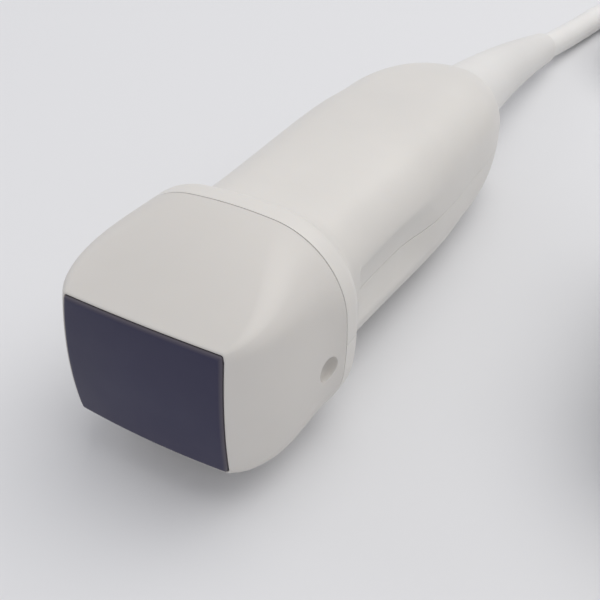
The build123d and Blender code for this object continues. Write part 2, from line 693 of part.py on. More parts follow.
# Coax bundle: the fine wires gather from the boards' ends to the cable
CABLE_RADIUS = CABLE_DIAMETER / 2
ferrule_start = DOME_END - FERRULE_TO_END
bundle_end = ferrule_start + CABLE_END_SETBACK
with BuildPart() as coax_bundle:
    with BuildSketch(at_station(chassis_end)):
        RectangleRounded(BUNDLE_START_WIDTH, 2 * BOARD_TOP, BUNDLE_START_CORNER)
    with BuildSketch(at_station(blend(chassis_end, bundle_end, 0.5))):
        RectangleRounded(BUNDLE_WAIST_WIDTH, 2 * BOARD_TOP - BUNDLE_WAIST_DROP, BUNDLE_CORNER)
    with BuildSketch(at_station(bundle_end)):
        RectangleRounded(CABLE_DIAMETER - 2 * CABLE_JACKET, CABLE_DIAMETER - 2 * CABLE_JACKET, BUNDLE_CORNER)
    loft()
save(coax_bundle.part, "coax_bundle")

# Ferrule crimped on the cable's end, with the collar that the shells hold
collar_front = ferrule_start + FERRULE_COLLAR_SETBACK
ferrule_back = ferrule_start + FERRULE_LENGTH
ferrule_radius = CABLE_RADIUS + BORE_GAP + FERRULE_WALL
with BuildPart() as shield_ferrule:
    add(rod(ferrule_start, ferrule_back, ferrule_radius))
    add(rod(collar_front, collar_front + FERRULE_COLLAR, FERRULE_COLLAR_RADIUS))
    add(rod(ferrule_start - OVERCUT, ferrule_back + OVERCUT, CABLE_RADIUS + BORE_GAP), mode=Mode.SUBTRACT)
save(shield_ferrule.part, "shield_ferrule")

# Handle: outer form less pocket and cavity, grooved, ribbed, then parted at the side seam
handle_loft = lofted(OUTER)
collar_band = prism(PARTING, PARTING + COLLAR_FLAT, *HALF_COLLAR, COLLAR_BOW, COLLAR_CORNER, arc_curve)
cavity_rows = [inset(row, SIDE_WALL, TOP_WALL) for row in BODY]
cavity_rows += dome_stations(HANDLE_LENGTH - TOP_WALL, DOME_ROOT_RADIUS - CAVITY_END_INSET,
                             HALF_TAIL[0] - SIDE_WALL, HALF_TAIL[1] - TOP_WALL)
handle_cavity = lofted(cavity_rows)
pocket = prism(PARTING - OVERCUT, PARTING + POCKET_DEPTH, HALF_COLLAR[0] - POCKET_WALL,
               HALF_COLLAR[1] - POCKET_WALL, COLLAR_BOW, COLLAR_CORNER - POCKET_WALL)
relief_hole = rod(DOME_END - 2 * TOP_WALL, DOME_END + OVERCUT, RELIEF_NECK_RADIUS + RELIEF_GAP)

# The groove is a round bar laid along a wide arc that dips into the side
bar_radius = (GROOVE_HALF_HEIGHT**2 + GROOVE_DEPTH**2) / (2 * GROOVE_DEPTH)
groove_floor = body_station(GROOVE_CENTRE).half_w - GROOVE_DEPTH
groove_centre = PARTING + GROOVE_CENTRE
groove_reach = groove_floor + 2 * bar_radius + GROOVE_DEPTH + OVERCUT
with BuildPart() as groove_bar:
    with BuildLine(MIDDLE) as groove_path:
        ThreePointArc(
            (groove_floor + bar_radius + GROOVE_DEPTH, groove_centre - GROOVE_HALF_LENGTH),
            (groove_floor + bar_radius, groove_centre),
            (groove_floor + bar_radius + GROOVE_DEPTH, groove_centre + GROOVE_HALF_LENGTH),
        )
    with BuildSketch(Plane(origin=groove_path.line @ 0, z_dir=groove_path.line % 0)):
        Circle(bar_radius)
    sweep()
    add(block(PARTING - GROOVE_HALF_LENGTH, PARTING + GROOVE_START, 2 * groove_reach, -COLLAR_HEIGHT,
              COLLAR_HEIGHT), mode=Mode.SUBTRACT)
    mirror(about=SIDE)

# Ribs across each shell hold the chassis; saddles at the rear hold the ferrule's collar
rib_form = lofted([inset(row, -RIB_ROOT, -RIB_ROOT) for row in cavity_rows])


def rib_slab(s, thickness):
    """Slice of the cavity's form that becomes a rib."""
    return rib_form & block(s, s + thickness, COLLAR_WIDTH, -COLLAR_HEIGHT, COLLAR_HEIGHT)


rib_stations = (CHASSIS_START + RIB_FRONT_SETBACK, chassis_end - RIB_REAR_SETBACK)
saddle_stations = (collar_front - RIB_GAP - SADDLE_THICKNESS, collar_front + FERRULE_COLLAR + RIB_GAP)
with BuildPart() as ribs:
    for s in rib_stations:
        add(rib_slab(s, RIB_THICKNESS))
    chassis_window = BOARD_TOP + SHIELD_HEIGHT + RIB_CLEARANCE
    add(block(rib_stations[0] - OVERCUT, rib_stations[-1] + RIB_THICKNESS + OVERCUT,
              CHASSIS_WIDTH + 2 * RIB_GAP, -chassis_window, chassis_window), mode=Mode.SUBTRACT)
    for s in saddle_stations:
        add(rib_slab(s, SADDLE_THICKNESS))
    add(rod(saddle_stations[0] - OVERCUT, saddle_stations[-1] + SADDLE_THICKNESS + OVERCUT,
            ferrule_radius + BORE_GAP), mode=Mode.SUBTRACT)

with BuildPart() as handle_body:
    add(handle_loft)
    add(collar_band)
    add(handle_cavity, mode=Mode.SUBTRACT)
    add(pocket, mode=Mode.SUBTRACT)
    add(relief_hole, mode=Mode.SUBTRACT)
    add(groove_bar.part, mode=Mode.SUBTRACT)
    add(ribs.part)

# Lip along the side seam: it stands on the upper shell and runs in a step of the lower one
seam_rows = [body_station(setback) for setback in setbacks(NECK_SETBACK, TAIL_SETBACK, SEAM_STEPS)]


def seam_strip(outer_inset, inner_inset, depth):
    """Strip that follows the side wall from neck to tail, below the seam."""
    with BuildPart() as strip:
        with BuildSketch(MIDDLE.offset(-depth)):
            with BuildLine():
                outer = Spline(*[(row.half_w - outer_inset, row.s) for row in seam_rows])
                inner = Spline(*[(row.half_w - inner_inset, row.s) for row in reversed(seam_rows)])
                Line(outer @ 1, inner @ 0)
                Line(inner @ 1, outer @ 0)
            make_face()
        extrude(amount=depth)
        mirror(about=SIDE)
    return strip.part


lip_outer = TONGUE_INSET + TONGUE_GAP
lip_span = block(PARTING + NECK_SETBACK + TONGUE_GAP, PARTING + TAIL_SETBACK - TONGUE_GAP, COLLAR_WIDTH,
                 -COLLAR_HEIGHT, COLLAR_HEIGHT)

with BuildPart() as handle_shell_upper:
    add(handle_body.part)
    split(bisect_by=MIDDLE, keep=Keep.TOP)
    add(seam_strip(lip_outer, lip_outer + TONGUE_WIDTH, TONGUE_HEIGHT) & lip_span)
save(handle_shell_upper.part, "handle_shell_upper")

with BuildPart() as handle_shell_lower:
    add(handle_body.part)
    split(bisect_by=MIDDLE, keep=Keep.BOTTOM)
    add(seam_strip(TONGUE_INSET, TONGUE_INSET + 2 * TONGUE_WIDTH, TONGUE_HEIGHT + TONGUE_GAP),
        mode=Mode.SUBTRACT)
save(handle_shell_lower.part, "handle_shell_lower")

# Strain relief: a tapered boot that leans over under the cable's weight
LEAN = UP_DIR * -cos(radians(RELIEF_SIDE)) + Vector(1, 0, 0) * sin(radians(RELIEF_SIDE))
RELIEF_ROOT = ORIGIN + AXIS_DIR * DOME_END


def relief_frame(share):
    """Plane across the boot at a share of its length."""
    turn = BEND * share
    along = BEND_RADIUS * sin(turn)
    out = BEND_RADIUS * (1 - cos(turn))
    origin = RELIEF_ROOT + AXIS_DIR * along + LEAN * out
    heading = AXIS_DIR * cos(turn) + LEAN * sin(turn)
    return Plane(origin=origin, x_dir=LEAN.cross(AXIS_DIR), z_dir=heading)


def relief_radius(share):
    """Boot radius at a share of its length: a long taper that eases into the tip."""
    return eased(DOME_ROOT_RADIUS - RELIEF_GAP, RELIEF_TIP_RADIUS, RELIEF_ROOT_SLOPE, RELIEF_TIP_SLOPE,
                 RELIEF_LENGTH, share)


with BuildLine() as cable_core_path:
    Line(ORIGIN + AXIS_DIR * bundle_end, RELIEF_ROOT)
    ThreePointArc(RELIEF_ROOT, relief_frame(0.5).origin, relief_frame(1.0).origin)

with BuildPart() as relief_bore:
    with BuildSketch(Plane(origin=cable_core_path.line @ 0, z_dir=AXIS_DIR)):
        Circle(CABLE_RADIUS + BORE_GAP)
    sweep(path=cable_core_path.line)

wall_inner = DOME_END - TOP_WALL
with BuildPart() as strain_relief:
    for share in RELIEF_SHARES:
        with BuildSketch(relief_frame(share)):
            Circle(relief_radius(share))
    loft()
    add(rod(wall_inner - RELIEF_GAP, DOME_END, RELIEF_NECK_RADIUS))
    add(rod(wall_inner - RELIEF_GAP - RELIEF_FLANGE, wall_inner - RELIEF_GAP, RELIEF_FLANGE_RADIUS))
    add(relief_bore.part, mode=Mode.SUBTRACT)
save(strain_relief.part, "strain_relief")

# Cable inside the boot
with BuildPart() as cable_core:
    with BuildSketch(Plane(origin=cable_core_path.line @ 0, z_dir=AXIS_DIR)):
        Circle(CABLE_RADIUS)
    sweep(path=cable_core_path.line)
save(cable_core.part, "cable_core")

# Coil: full layers of lanes, an inner turn on top of them, and part of a turn on the middle lane
COIL_WIDTH = COIL_LANES * CABLE_DIAMETER
COIL_BASE = TIE_THICKNESS + TIE_GAP
COIL_TOP = COIL_BASE + COIL_LAYERS * CABLE_DIAMETER
COIL_AXIS = Axis((*COIL_CENTRE, 0), (0, 0, 1))
inner_edge = COIL_MEAN_RADIUS - COIL_WIDTH / 2
inner_lane = inner_edge + CABLE_RADIUS
outer_lane = COIL_MEAN_RADIUS + COIL_WIDTH / 2 - CABLE_RADIUS


def coil_plane(angle):
    """Upright plane through the coil's axis, facing the way that the turns run."""
    turn = radians(angle)
    return Plane(origin=(*COIL_CENTRE, 0), x_dir=(cos(turn), sin(turn), 0), z_dir=(sin(turn), -cos(turn), 0))


entry_plane = coil_plane(ENTRY_ANGLE)
departure_plane = coil_plane(DEPARTURE_ANGLE)
ENTRY = entry_plane.from_local_coords(Vector(outer_lane, COIL_BASE + CABLE_RADIUS, 0))
tail_height = COIL_TOP + CABLE_RADIUS + FLOOR_GAP
DEPARTURE = departure_plane.from_local_coords(Vector(COIL_MEAN_RADIUS, tail_height, 0))

with BuildPart() as cable_coil:
    with BuildSketch(departure_plane):
        with Locations((COIL_MEAN_RADIUS, (COIL_BASE + COIL_TOP) / 2)):
            RectangleRounded(COIL_WIDTH, COIL_TOP - COIL_BASE, CABLE_RADIUS * COIL_ROUNDNESS)
    revolve(axis=COIL_AXIS)
    for lane, arc in ((inner_lane, 360), (COIL_MEAN_RADIUS, 180 - DEPARTURE_ANGLE)):
        with BuildSketch(departure_plane):
            with Locations((lane, COIL_TOP + CABLE_RADIUS / 2)):
                Rectangle(CABLE_DIAMETER, CABLE_RADIUS * 3)
        revolve(axis=COIL_AXIS, revolution_arc=arc)
    with BuildSketch(entry_plane):
        with Locations((outer_lane + CABLE_RADIUS, (COIL_BASE + CABLE_DIAMETER) / 2)):
            Rectangle(2 * CABLE_DIAMETER + BORE_GAP, COIL_BASE + CABLE_DIAMETER + 2 * BORE_GAP)
    extrude(amount=-NOTCH_LENGTH, mode=Mode.SUBTRACT)
save(cable_coil.part, "cable_coil")

# Tie round the coil's turns
tie_height = COIL_TOP + CABLE_DIAMETER - COIL_BASE + 2 * TIE_GAP
tie_sag = inner_edge - sqrt(inner_edge**2 - (TIE_WIDTH / 2) ** 2)
tie_depth = COIL_WIDTH + tie_sag + 2 * TIE_GAP
with BuildPart() as coil_tie:
    with BuildSketch(coil_plane(TIE_ANGLE).offset(-TIE_WIDTH / 2)):
        with Locations((COIL_MEAN_RADIUS - tie_sag / 2, (COIL_BASE + COIL_TOP + CABLE_DIAMETER) / 2)):
            RectangleRounded(tie_depth + 2 * TIE_THICKNESS, tie_height + 2 * TIE_THICKNESS,
                             TIE_CORNER + TIE_THICKNESS)
            RectangleRounded(tie_depth, tie_height, TIE_CORNER, mode=Mode.SUBTRACT)
    extrude(amount=TIE_WIDTH)
save(coil_tie.part, "coil_tie")


def cable_tube(points, name):
    """Tube of straight runs joined by arcs as large as the runs allow; prints radii and volume."""
    radii = []
    for before, corner, after in zip(points, points[1:], points[2:]):
        turn = radians((corner - before).get_angle(after - corner))
        shorter = min((corner - before).length, (after - corner).length)
        radii.append(ROUTE_EASE * shorter / tan(turn / 2))
    with BuildPart() as tube:
        with BuildLine() as route:
            FilletPolyline(*points, radius=radii)
        with BuildSketch(Plane(origin=route.line @ 0, z_dir=route.line % 0)):
            Circle(CABLE_RADIUS)
        sweep(path=route.line)
    length = sum(edge.length for edge in route.edges())
    expected = pi * CABLE_RADIUS**2 * length
    print(f"{name}: length {length:.1f}, radii {[round(r) for r in radii]}, "
          f"volume over section times length {tube.part.volume / expected:.4f}")
    save(tube.part, name)
    return length


# Free cable: from the boot's tip to the floor, on to the coil, and from the coil to the connector
tip_frame = relief_frame(1.0)
TIP = tip_frame.origin
HEADING = tip_frame.z_dir
on_floor = CABLE_RADIUS + FLOOR_GAP
landing = TIP + HEADING * ((TIP.Z - on_floor) / -HEADING.Z)
lead_heading = Vector(cos(radians(LEAD_DIRECTION)), sin(radians(LEAD_DIRECTION)), 0)
entry_heading = entry_plane.z_dir
span = ENTRY - landing
lead_run = span.cross(entry_heading).Z / lead_heading.cross(entry_heading).Z
bend = landing + lead_heading * lead_run + Vector(0, 0, ENTRY.Z - landing.Z)
lead_length = cable_tube([TIP, landing, bend, ENTRY], "cable_lead")

tail_start = DEPARTURE + departure_plane.z_dir * TAIL_GAP
leave = tail_start + departure_plane.z_dir * TAIL_RUN + Vector(0, 0, TAIL_RISE)
CONNECTOR_X = leave.X
CONNECTOR_Z = CONNECTOR_THICKNESS / 2
arrive = Vector(CONNECTOR_X, leave.Y - TAIL_DROP_LENGTH, CONNECTOR_Z)
relief_tip = arrive - Vector(0, TAIL_APPROACH, 0)
tail_length = cable_tube([tail_start, leave, arrive, relief_tip], "cable_tail")
top_turn = radians(ENTRY_ANGLE - DEPARTURE_ANGLE) * COIL_MEAN_RADIUS
coil_length = 2 * pi * (COIL_LANES * COIL_LAYERS * COIL_MEAN_RADIUS + inner_lane) + top_turn
print(f"coil {coil_length:.0f}, whole free cable {lead_length + coil_length + tail_length:.0f}")

# Connector: two housing halves, metal shroud, contact block with its contacts, board and screws
REAR_Y = relief_tip.Y - CONNECTOR_RELIEF_LENGTH
FRONT_FACE_Y = REAR_Y - CONNECTOR_LENGTH


def connector_plane(y):
    """Plane across the connector, facing its mating end."""
    return Plane(origin=(CONNECTOR_X, y, CONNECTOR_Z), x_dir=(1, 0, 0), z_dir=(0, -1, 0))


FLOOR_PLAN = Plane(origin=(CONNECTOR_X, REAR_Y, 0), x_dir=(1, 0, 0), z_dir=(0, 0, 1))


def housing_plan(margin, thickness, ease):
    """Housing's form in plan: a rectangle that narrows to its rear, drawn in by a margin."""
    half = CONNECTOR_WIDTH / 2 - margin
    rear = CONNECTOR_REAR_WIDTH / 2 - margin
    front = -CONNECTOR_LENGTH + margin
    back = -margin
    with BuildPart() as form:
        with BuildSketch(FLOOR_PLAN.offset(CONNECTOR_Z - thickness / 2)):
            with BuildLine():
                Polyline((-half, front), (half, front), (half, -CONNECTOR_SHOULDER), (rear, back),
                         (-rear, back), (-half, -CONNECTOR_SHOULDER), (-half, front))
            face = make_face()
            fillet(face.vertices(), CONNECTOR_CORNER - margin)
        extrude(amount=thickness)
        if ease:
            fillet(form.faces().sort_by(Axis.Z)[-1].edges() + form.faces().sort_by(Axis.Z)[0].edges(), ease)
    return form.part


with BuildPart() as housing:
    add(housing_plan(0, CONNECTOR_THICKNESS, CONNECTOR_EASE))
    add(housing_plan(CONNECTOR_WALL, CONNECTOR_THICKNESS - 2 * CONNECTOR_WALL, 0), mode=Mode.SUBTRACT)
    with BuildSketch(connector_plane(FRONT_FACE_Y + CONNECTOR_WALL + OVERCUT)):
        RectangleRounded(SHROUD_WIDTH + 2 * RIB_GAP, SHROUD_HEIGHT + 2 * RIB_GAP, SHROUD_CORNER)
    extrude(amount=CONNECTOR_WALL + 2 * OVERCUT, mode=Mode.SUBTRACT)
    with BuildSketch(connector_plane(REAR_Y + OVERCUT)):
        Circle(CABLE_RADIUS + FERRULE_WALL + RELIEF_GAP)
    extrude(amount=CONNECTOR_WALL + 2 * OVERCUT, mode=Mode.SUBTRACT)
    for side in (-1, 1):
        for index in range(GRIP_RIBS):
            y = REAR_Y - CONNECTOR_SHOULDER - GRIP_START - index * GRIP_RIB_PITCH
            with Locations((CONNECTOR_X + side * CONNECTOR_WIDTH / 2, y, CONNECTOR_Z)):
                Box(2 * GRIP_RIB_DEPTH, GRIP_RIB_WIDTH, CONNECTOR_THICKNESS - 3 * CONNECTOR_EASE,
                    mode=Mode.SUBTRACT)
    posts = [(CONNECTOR_X + side * (CONNECTOR_WIDTH / 2 - POST_INSET), REAR_Y - back, CONNECTOR_Z)
             for side in (-1, 1) for back in (CONNECTOR_SHOULDER + POST_REAR, CONNECTOR_LENGTH - POST_FRONT)]
    with Locations(*posts):
        Cylinder(CASE_SCREW_HEAD + POST_WALL, CONNECTOR_THICKNESS - 2 * CONNECTOR_WALL + 2 * POST_ROOT)
        Cylinder(CASE_SCREW_RADIUS + SCREW_GAP, CONNECTOR_THICKNESS - 2 * CONNECTOR_WALL, mode=Mode.SUBTRACT)
    bottom_posts = [(x, y, 0) for x, y, z in posts]
    with Locations(*bottom_posts):
        Cylinder(CASE_SCREW_RADIUS + SCREW_GAP, 2 * CONNECTOR_Z, mode=Mode.SUBTRACT)
        Cylinder(CASE_SCREW_HEAD + SCREW_GAP, 2 * (CASE_SCREW_HEAD_HEIGHT + CASE_SCREW_SINK),
                 mode=Mode.SUBTRACT)

SEAM = Plane(origin=(CONNECTOR_X, REAR_Y, CONNECTOR_Z), x_dir=(1, 0, 0), z_dir=(0, 0, 1))
with BuildPart() as connector_housing_upper:
    add(housing.part)
    split(bisect_by=SEAM, keep=Keep.TOP)
save(connector_housing_upper.part, "connector_housing_upper")

with BuildPart() as connector_housing_lower:
    add(housing.part)
    split(bisect_by=SEAM, keep=Keep.BOTTOM)
save(connector_housing_lower.part, "connector_housing_lower")

# Screws from below hold the halves together
shank = CONNECTOR_Z + CASE_SCREW_REACH
with BuildPart() as connector_screws:
    for x, y, z in posts:
        with Locations((x, y, CASE_SCREW_SINK + CASE_SCREW_HEAD_HEIGHT / 2)):
            Cylinder(CASE_SCREW_HEAD, CASE_SCREW_HEAD_HEIGHT)
        with Locations((x, y, CASE_SCREW_SINK + CASE_SCREW_HEAD_HEIGHT + shank / 2)):
            Cylinder(CASE_SCREW_RADIUS, shank)
save(connector_screws.part, "connector_screws")

# Shroud: a metal frame round the contact block, held behind the front wall by a flange
shroud_front = FRONT_FACE_Y - SHROUD_REACH
shroud_back = FRONT_FACE_Y + CONNECTOR_WALL + SHROUD_TAIL
with BuildPart() as connector_shroud:
    with BuildSketch(connector_plane(shroud_back)):
        RectangleRounded(SHROUD_WIDTH, SHROUD_HEIGHT, SHROUD_CORNER)
    extrude(amount=shroud_back - shroud_front)
    with BuildSketch(connector_plane(shroud_back)):
        RectangleRounded(SHROUD_WIDTH + 2 * SHROUD_LIP, SHROUD_HEIGHT + 2 * SHROUD_LIP, SHROUD_CORNER)
    extrude(amount=SHROUD_FLANGE)
    with BuildSketch(connector_plane(shroud_back)):
        RectangleRounded(SHROUD_WIDTH - 2 * SHROUD_WALL, SHROUD_HEIGHT - 2 * SHROUD_WALL,
                         SHROUD_CORNER - SHROUD_WALL)
    extrude(amount=shroud_back - shroud_front, mode=Mode.SUBTRACT)
save(connector_shroud.part, "connector_shroud")

# Contact block fills the shroud, with rows of small gilt contacts on its face
block_front = shroud_front + SHROUD_RECESS
with BuildPart() as contact_block:
    with BuildSketch(connector_plane(shroud_back)):
        RectangleRounded(SHROUD_WIDTH - 2 * SHROUD_WALL - 2 * CONTACT_GAP, SHROUD_HEIGHT - 2 * SHROUD_WALL
                         - 2 * CONTACT_GAP, SHROUD_CORNER - SHROUD_WALL)
    extrude(amount=shroud_back - block_front)
save(contact_block.part, "contact_block")

with BuildPart() as contacts:
    with BuildSketch(connector_plane(block_front)):
        with GridLocations(CONTACT_PITCH, CONTACT_PITCH, CONTACT_COLUMNS, CONTACT_ROWS):
            Rectangle(CONTACT_SIZE, CONTACT_SIZE)
    extrude(amount=CONTACT_PROUD)
save(contacts.part, "contacts")

with BuildPart() as connector_board:
    with BuildSketch(connector_plane(shroud_back + CONNECTOR_BOARD_THICKNESS)):
        Rectangle(SHROUD_WIDTH - 2 * CONNECTOR_BOARD_SIDE_INSET, SHROUD_HEIGHT - 2 * CONNECTOR_BOARD_INSET)
    extrude(amount=CONNECTOR_BOARD_THICKNESS)
save(connector_board.part, "connector_board")

# Connector's own boot over the cable's end
with BuildPart() as connector_relief:
    with BuildSketch(connector_plane(relief_tip.Y)):
        Circle(CABLE_RADIUS + CONNECTOR_RELIEF_WALL)
    with BuildSketch(connector_plane(REAR_Y)):
        Circle(CONNECTOR_RELIEF_ROOT)
    loft()
    with BuildSketch(connector_plane(REAR_Y)):
        Circle(CABLE_RADIUS + FERRULE_WALL)
    extrude(amount=CONNECTOR_WALL + CONNECTOR_RELIEF_TAIL)
save(connector_relief.part, "connector_relief")

print(f"tilt {degrees(REST_TILT):.2f}, height {REST_HEIGHT:.2f}, lens plane y {LENS_Y:.2f}, tip {TIP}")
print(f"dimple mouth {DIMPLE.origin}, connector front {(CONNECTOR_X, shroud_front, CONNECTOR_Z)}")
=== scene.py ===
import json
import logging
import math
from dataclasses import dataclass, field
from enum import Enum
from typing import Callable, Iterable, Sequence

import bmesh
import bpy
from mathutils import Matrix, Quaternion, Vector


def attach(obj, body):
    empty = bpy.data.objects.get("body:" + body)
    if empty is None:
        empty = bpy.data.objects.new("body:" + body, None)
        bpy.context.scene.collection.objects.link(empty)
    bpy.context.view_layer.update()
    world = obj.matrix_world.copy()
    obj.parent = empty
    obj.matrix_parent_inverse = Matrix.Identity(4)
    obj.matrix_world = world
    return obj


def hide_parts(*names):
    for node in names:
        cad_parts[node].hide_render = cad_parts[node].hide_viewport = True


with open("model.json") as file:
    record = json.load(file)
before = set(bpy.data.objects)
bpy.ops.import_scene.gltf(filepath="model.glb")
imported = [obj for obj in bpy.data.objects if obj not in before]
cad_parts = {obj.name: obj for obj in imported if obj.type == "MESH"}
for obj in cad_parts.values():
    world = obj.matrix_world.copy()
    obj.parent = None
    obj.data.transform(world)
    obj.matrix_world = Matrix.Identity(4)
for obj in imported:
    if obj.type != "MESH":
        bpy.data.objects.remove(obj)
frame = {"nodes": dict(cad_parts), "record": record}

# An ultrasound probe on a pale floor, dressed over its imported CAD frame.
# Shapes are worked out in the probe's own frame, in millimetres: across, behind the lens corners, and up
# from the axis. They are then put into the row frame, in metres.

Triple = tuple[float, float, float]
Pair = tuple[float, float]

log = logging.getLogger("probe")
MM = 0.001
HAIR = 1e-6


@dataclass(frozen=True)
class ProbeSizes:
    """Driving sizes of the probe in millimetres, as in the CAD source but for the lens's crisper corner."""

    lens_half: Pair = (14.2, 11.15)
    lens_corner: float = 0.5
    lens_bow: float = 0.2
    lens_edge: float = 1.5
    crown_across: float = 0.5
    crown_up: float = 0.95
    rim: float = 0.45
    nose_length: float = 23.5
    nose_corner_power: float = 1.15
    collar_half: Pair = (21.1, 19.1)
    collar_corner: float = 14.5
    collar_bow: float = 2.9
    flare_across: Pair = (0.9, 0.36)
    flare_up: Pair = (0.45, 0.0)
    collar_flat: float = 2.8
    collar_length: float = 4.9
    knee_share: float = 0.75
    knee_slope: float = -0.27
    neck_setback: float = 10.0
    neck_half: Pair = (17.0, 15.45)
    belly_setback: float = 54.0
    belly_half: Pair = (18.3, 16.1)
    tail_setback: float = 67.0
    tail_half: Pair = (17.8, 15.9)
    handle_length: float = 95.3
    handle_corner: float = 11.0
    handle_bow: float = 1.9
    root_radius: float = 9.6
    end_roundness: float = 0.92
    end_bow: float = 0.45
    groove_depth: float = 1.3
    groove_half_height: float = 6.5
    groove_half_length: float = 27.0
    groove_centre: float = 17.0
    groove_start: float = 12.5
    dimple_radius: float = 2.2
    dimple_depth: float = 2.2
    dimple_station: float = 19.6
    dimple_drop: float = 2.4
    relief_length: float = 70.0
    relief_bend: float = 8.2
    relief_side: float = 31.0
    relief_tip: float = 4.7
    cable_radius: float = 3.8


SIZES = ProbeSizes()


@dataclass(frozen=True)
class RestPose:
    """Where the probe's axis lies in the row frame, in millimetres and degrees."""

    tilt: float = 2.7288
    lens_y: float = -93.7925
    height: float = 20.3302

    def place(self, across: float, behind: float, up: float) -> Vector:
        """Row-frame point of a point in the probe's frame.

        Args:
            across: distance to the side, millimetres.
            behind: station behind the lens corners, millimetres.
            up: height over the probe's axis, millimetres.

        Returns:
            The point in metres.
        """
        c, s = math.cos(math.radians(self.tilt)), math.sin(math.radians(self.tilt))
        y = self.lens_y + behind * c + up * s
        z = self.height - behind * s + up * c
        return Vector((across, y, z)) * MM


POSE = RestPose()


class Look(Enum):
    """Kinds of surface grain that a finish can carry."""

    MOULDED = "moulded"
    RUBBER = "rubber"
    METAL = "metal"
    WOVEN = "woven"
    BOARD = "board"


@dataclass(frozen=True)
class Finish:
    """Colour and surface of one material.

    Attributes:
        name: material name, which is also the record slot.
        colour: linear base colour.
        roughness: mean roughness.
        look: kind of grain.
        grain: size of the grain, features a metre.
        depth: bump distance in metres.
        mottle: share by which the colour drifts.
        metallic: 1 for metal.
        scatter: subsurface weight.
        coat: coat weight.
        painted_edge_highlight: painted highlight, colour added along eased edges, where the mesh has them,
            in place of the light that their rounding catches.
    """

    name: str
    colour: Triple
    roughness: float
    look: Look = Look.MOULDED
    grain: float = 2600.0
    depth: float = 1e-5
    mottle: float = 0.03
    metallic: float = 0.0
    scatter: float = 0.0
    coat: float = 0.0
    painted_edge_highlight: Triple | None = None


# Painted highlight: colour added along the lens's eased edge, standing in for the light that its rounding
# catches.
PAINTED_EDGE_HIGHLIGHT = (0.065, 0.057, 0.035)

FINISHES = {
    finish.name: finish
    for finish in (
        # The two whites differ partly as painted light: the nose's is set darker as painted shade for its
        # forward-facing sides, the housing's lighter as painted light on the handle's sides.
        Finish("nose_white", (0.64, 0.618, 0.585), 0.42, depth=6e-6, scatter=0.06, coat=0.08),
        Finish("housing_white", (0.705, 0.685, 0.65), 0.38, depth=6e-6, scatter=0.06, coat=0.1),
        # The lens's rubber carries a painted highlight along its eased edge.
        Finish(
            "lens_rubber", (0.019, 0.017, 0.056), 0.46, Look.RUBBER, 3200.0, 4e-6, 0.08, painted_edge_highlight=PAINTED_EDGE_HIGHLIGHT
        ),
        Finish("relief_rubber", (0.73, 0.72, 0.7), 0.5, Look.RUBBER, 2400.0, 8e-6, scatter=0.05),
        Finish("cable_jacket", (0.8, 0.79, 0.77), 0.45, Look.RUBBER, 2000.0, 8e-6, scatter=0.05),
        Finish("tie_fabric", (0.018, 0.018, 0.02), 0.85, Look.WOVEN, 900.0, 1.2e-4, 0.2),
        Finish("connector_grey", (0.33, 0.33, 0.32), 0.48, depth=2e-5, mottle=0.04),
        Finish("tinned_steel", (0.56, 0.56, 0.57), 0.45, Look.METAL, 1500.0, 6e-6, 0.06, 1.0),
        Finish("screw_steel", (0.5, 0.5, 0.52), 0.3, Look.METAL, 2500.0, 6e-6, 0.06, 1.0),
        Finish("aluminium", (0.7, 0.7, 0.72), 0.4, Look.METAL, 1200.0, 1e-5, 0.06, 1.0),
        Finish("brass", (0.62, 0.42, 0.14), 0.34, Look.METAL, 1500.0, 8e-6, 0.08, 1.0),
        Finish("gilt", (0.83, 0.58, 0.2), 0.22, Look.METAL, 2500.0, 3e-6, 0.05, 1.0),
        Finish("board_green", (0.012, 0.09, 0.035), 0.36, Look.BOARD, 700.0, 3e-5, 0.3),
        Finish("flex", (0.45, 0.17, 0.02), 0.3, Look.BOARD, 900.0, 1e-5, 0.2),
        Finish("black_plastic", (0.014, 0.014, 0.016), 0.45, depth=2e-5, mottle=0.1),
        Finish("matching_epoxy", (0.12, 0.09, 0.05), 0.5, mottle=0.1),
        Finish("ceramic", (0.5, 0.42, 0.23), 0.55, mottle=0.08),
        Finish("backing", (0.014, 0.014, 0.014), 0.7, Look.RUBBER, 900.0, 5e-5, 0.2),
        Finish("seal_rubber", (0.12, 0.12, 0.125), 0.6, Look.RUBBER),
        Finish("wire", (0.3, 0.03, 0.018), 0.5, Look.WOVEN, 500.0, 2e-4, 0.3),
    )
}


def add_node(
    tree: bpy.types.NodeTree, kind: str, values: dict[str | int, object] | None = None, **traits: object
) -> bpy.types.Node:
    """Add a shader node to a tree.

    Args:
        tree: the tree.
        kind: type of the node, without its prefix.
        values: fixed values of its inputs, by name or number.
        traits: settings of the node, such as its operation.

    Returns:
        The node.
    """
    node = tree.nodes.new("ShaderNode" + kind)
    for trait, value in traits.items():
        setattr(node, trait, value)
    for socket, value in (values or {}).items():
        node.inputs[socket].default_value = value
    return node


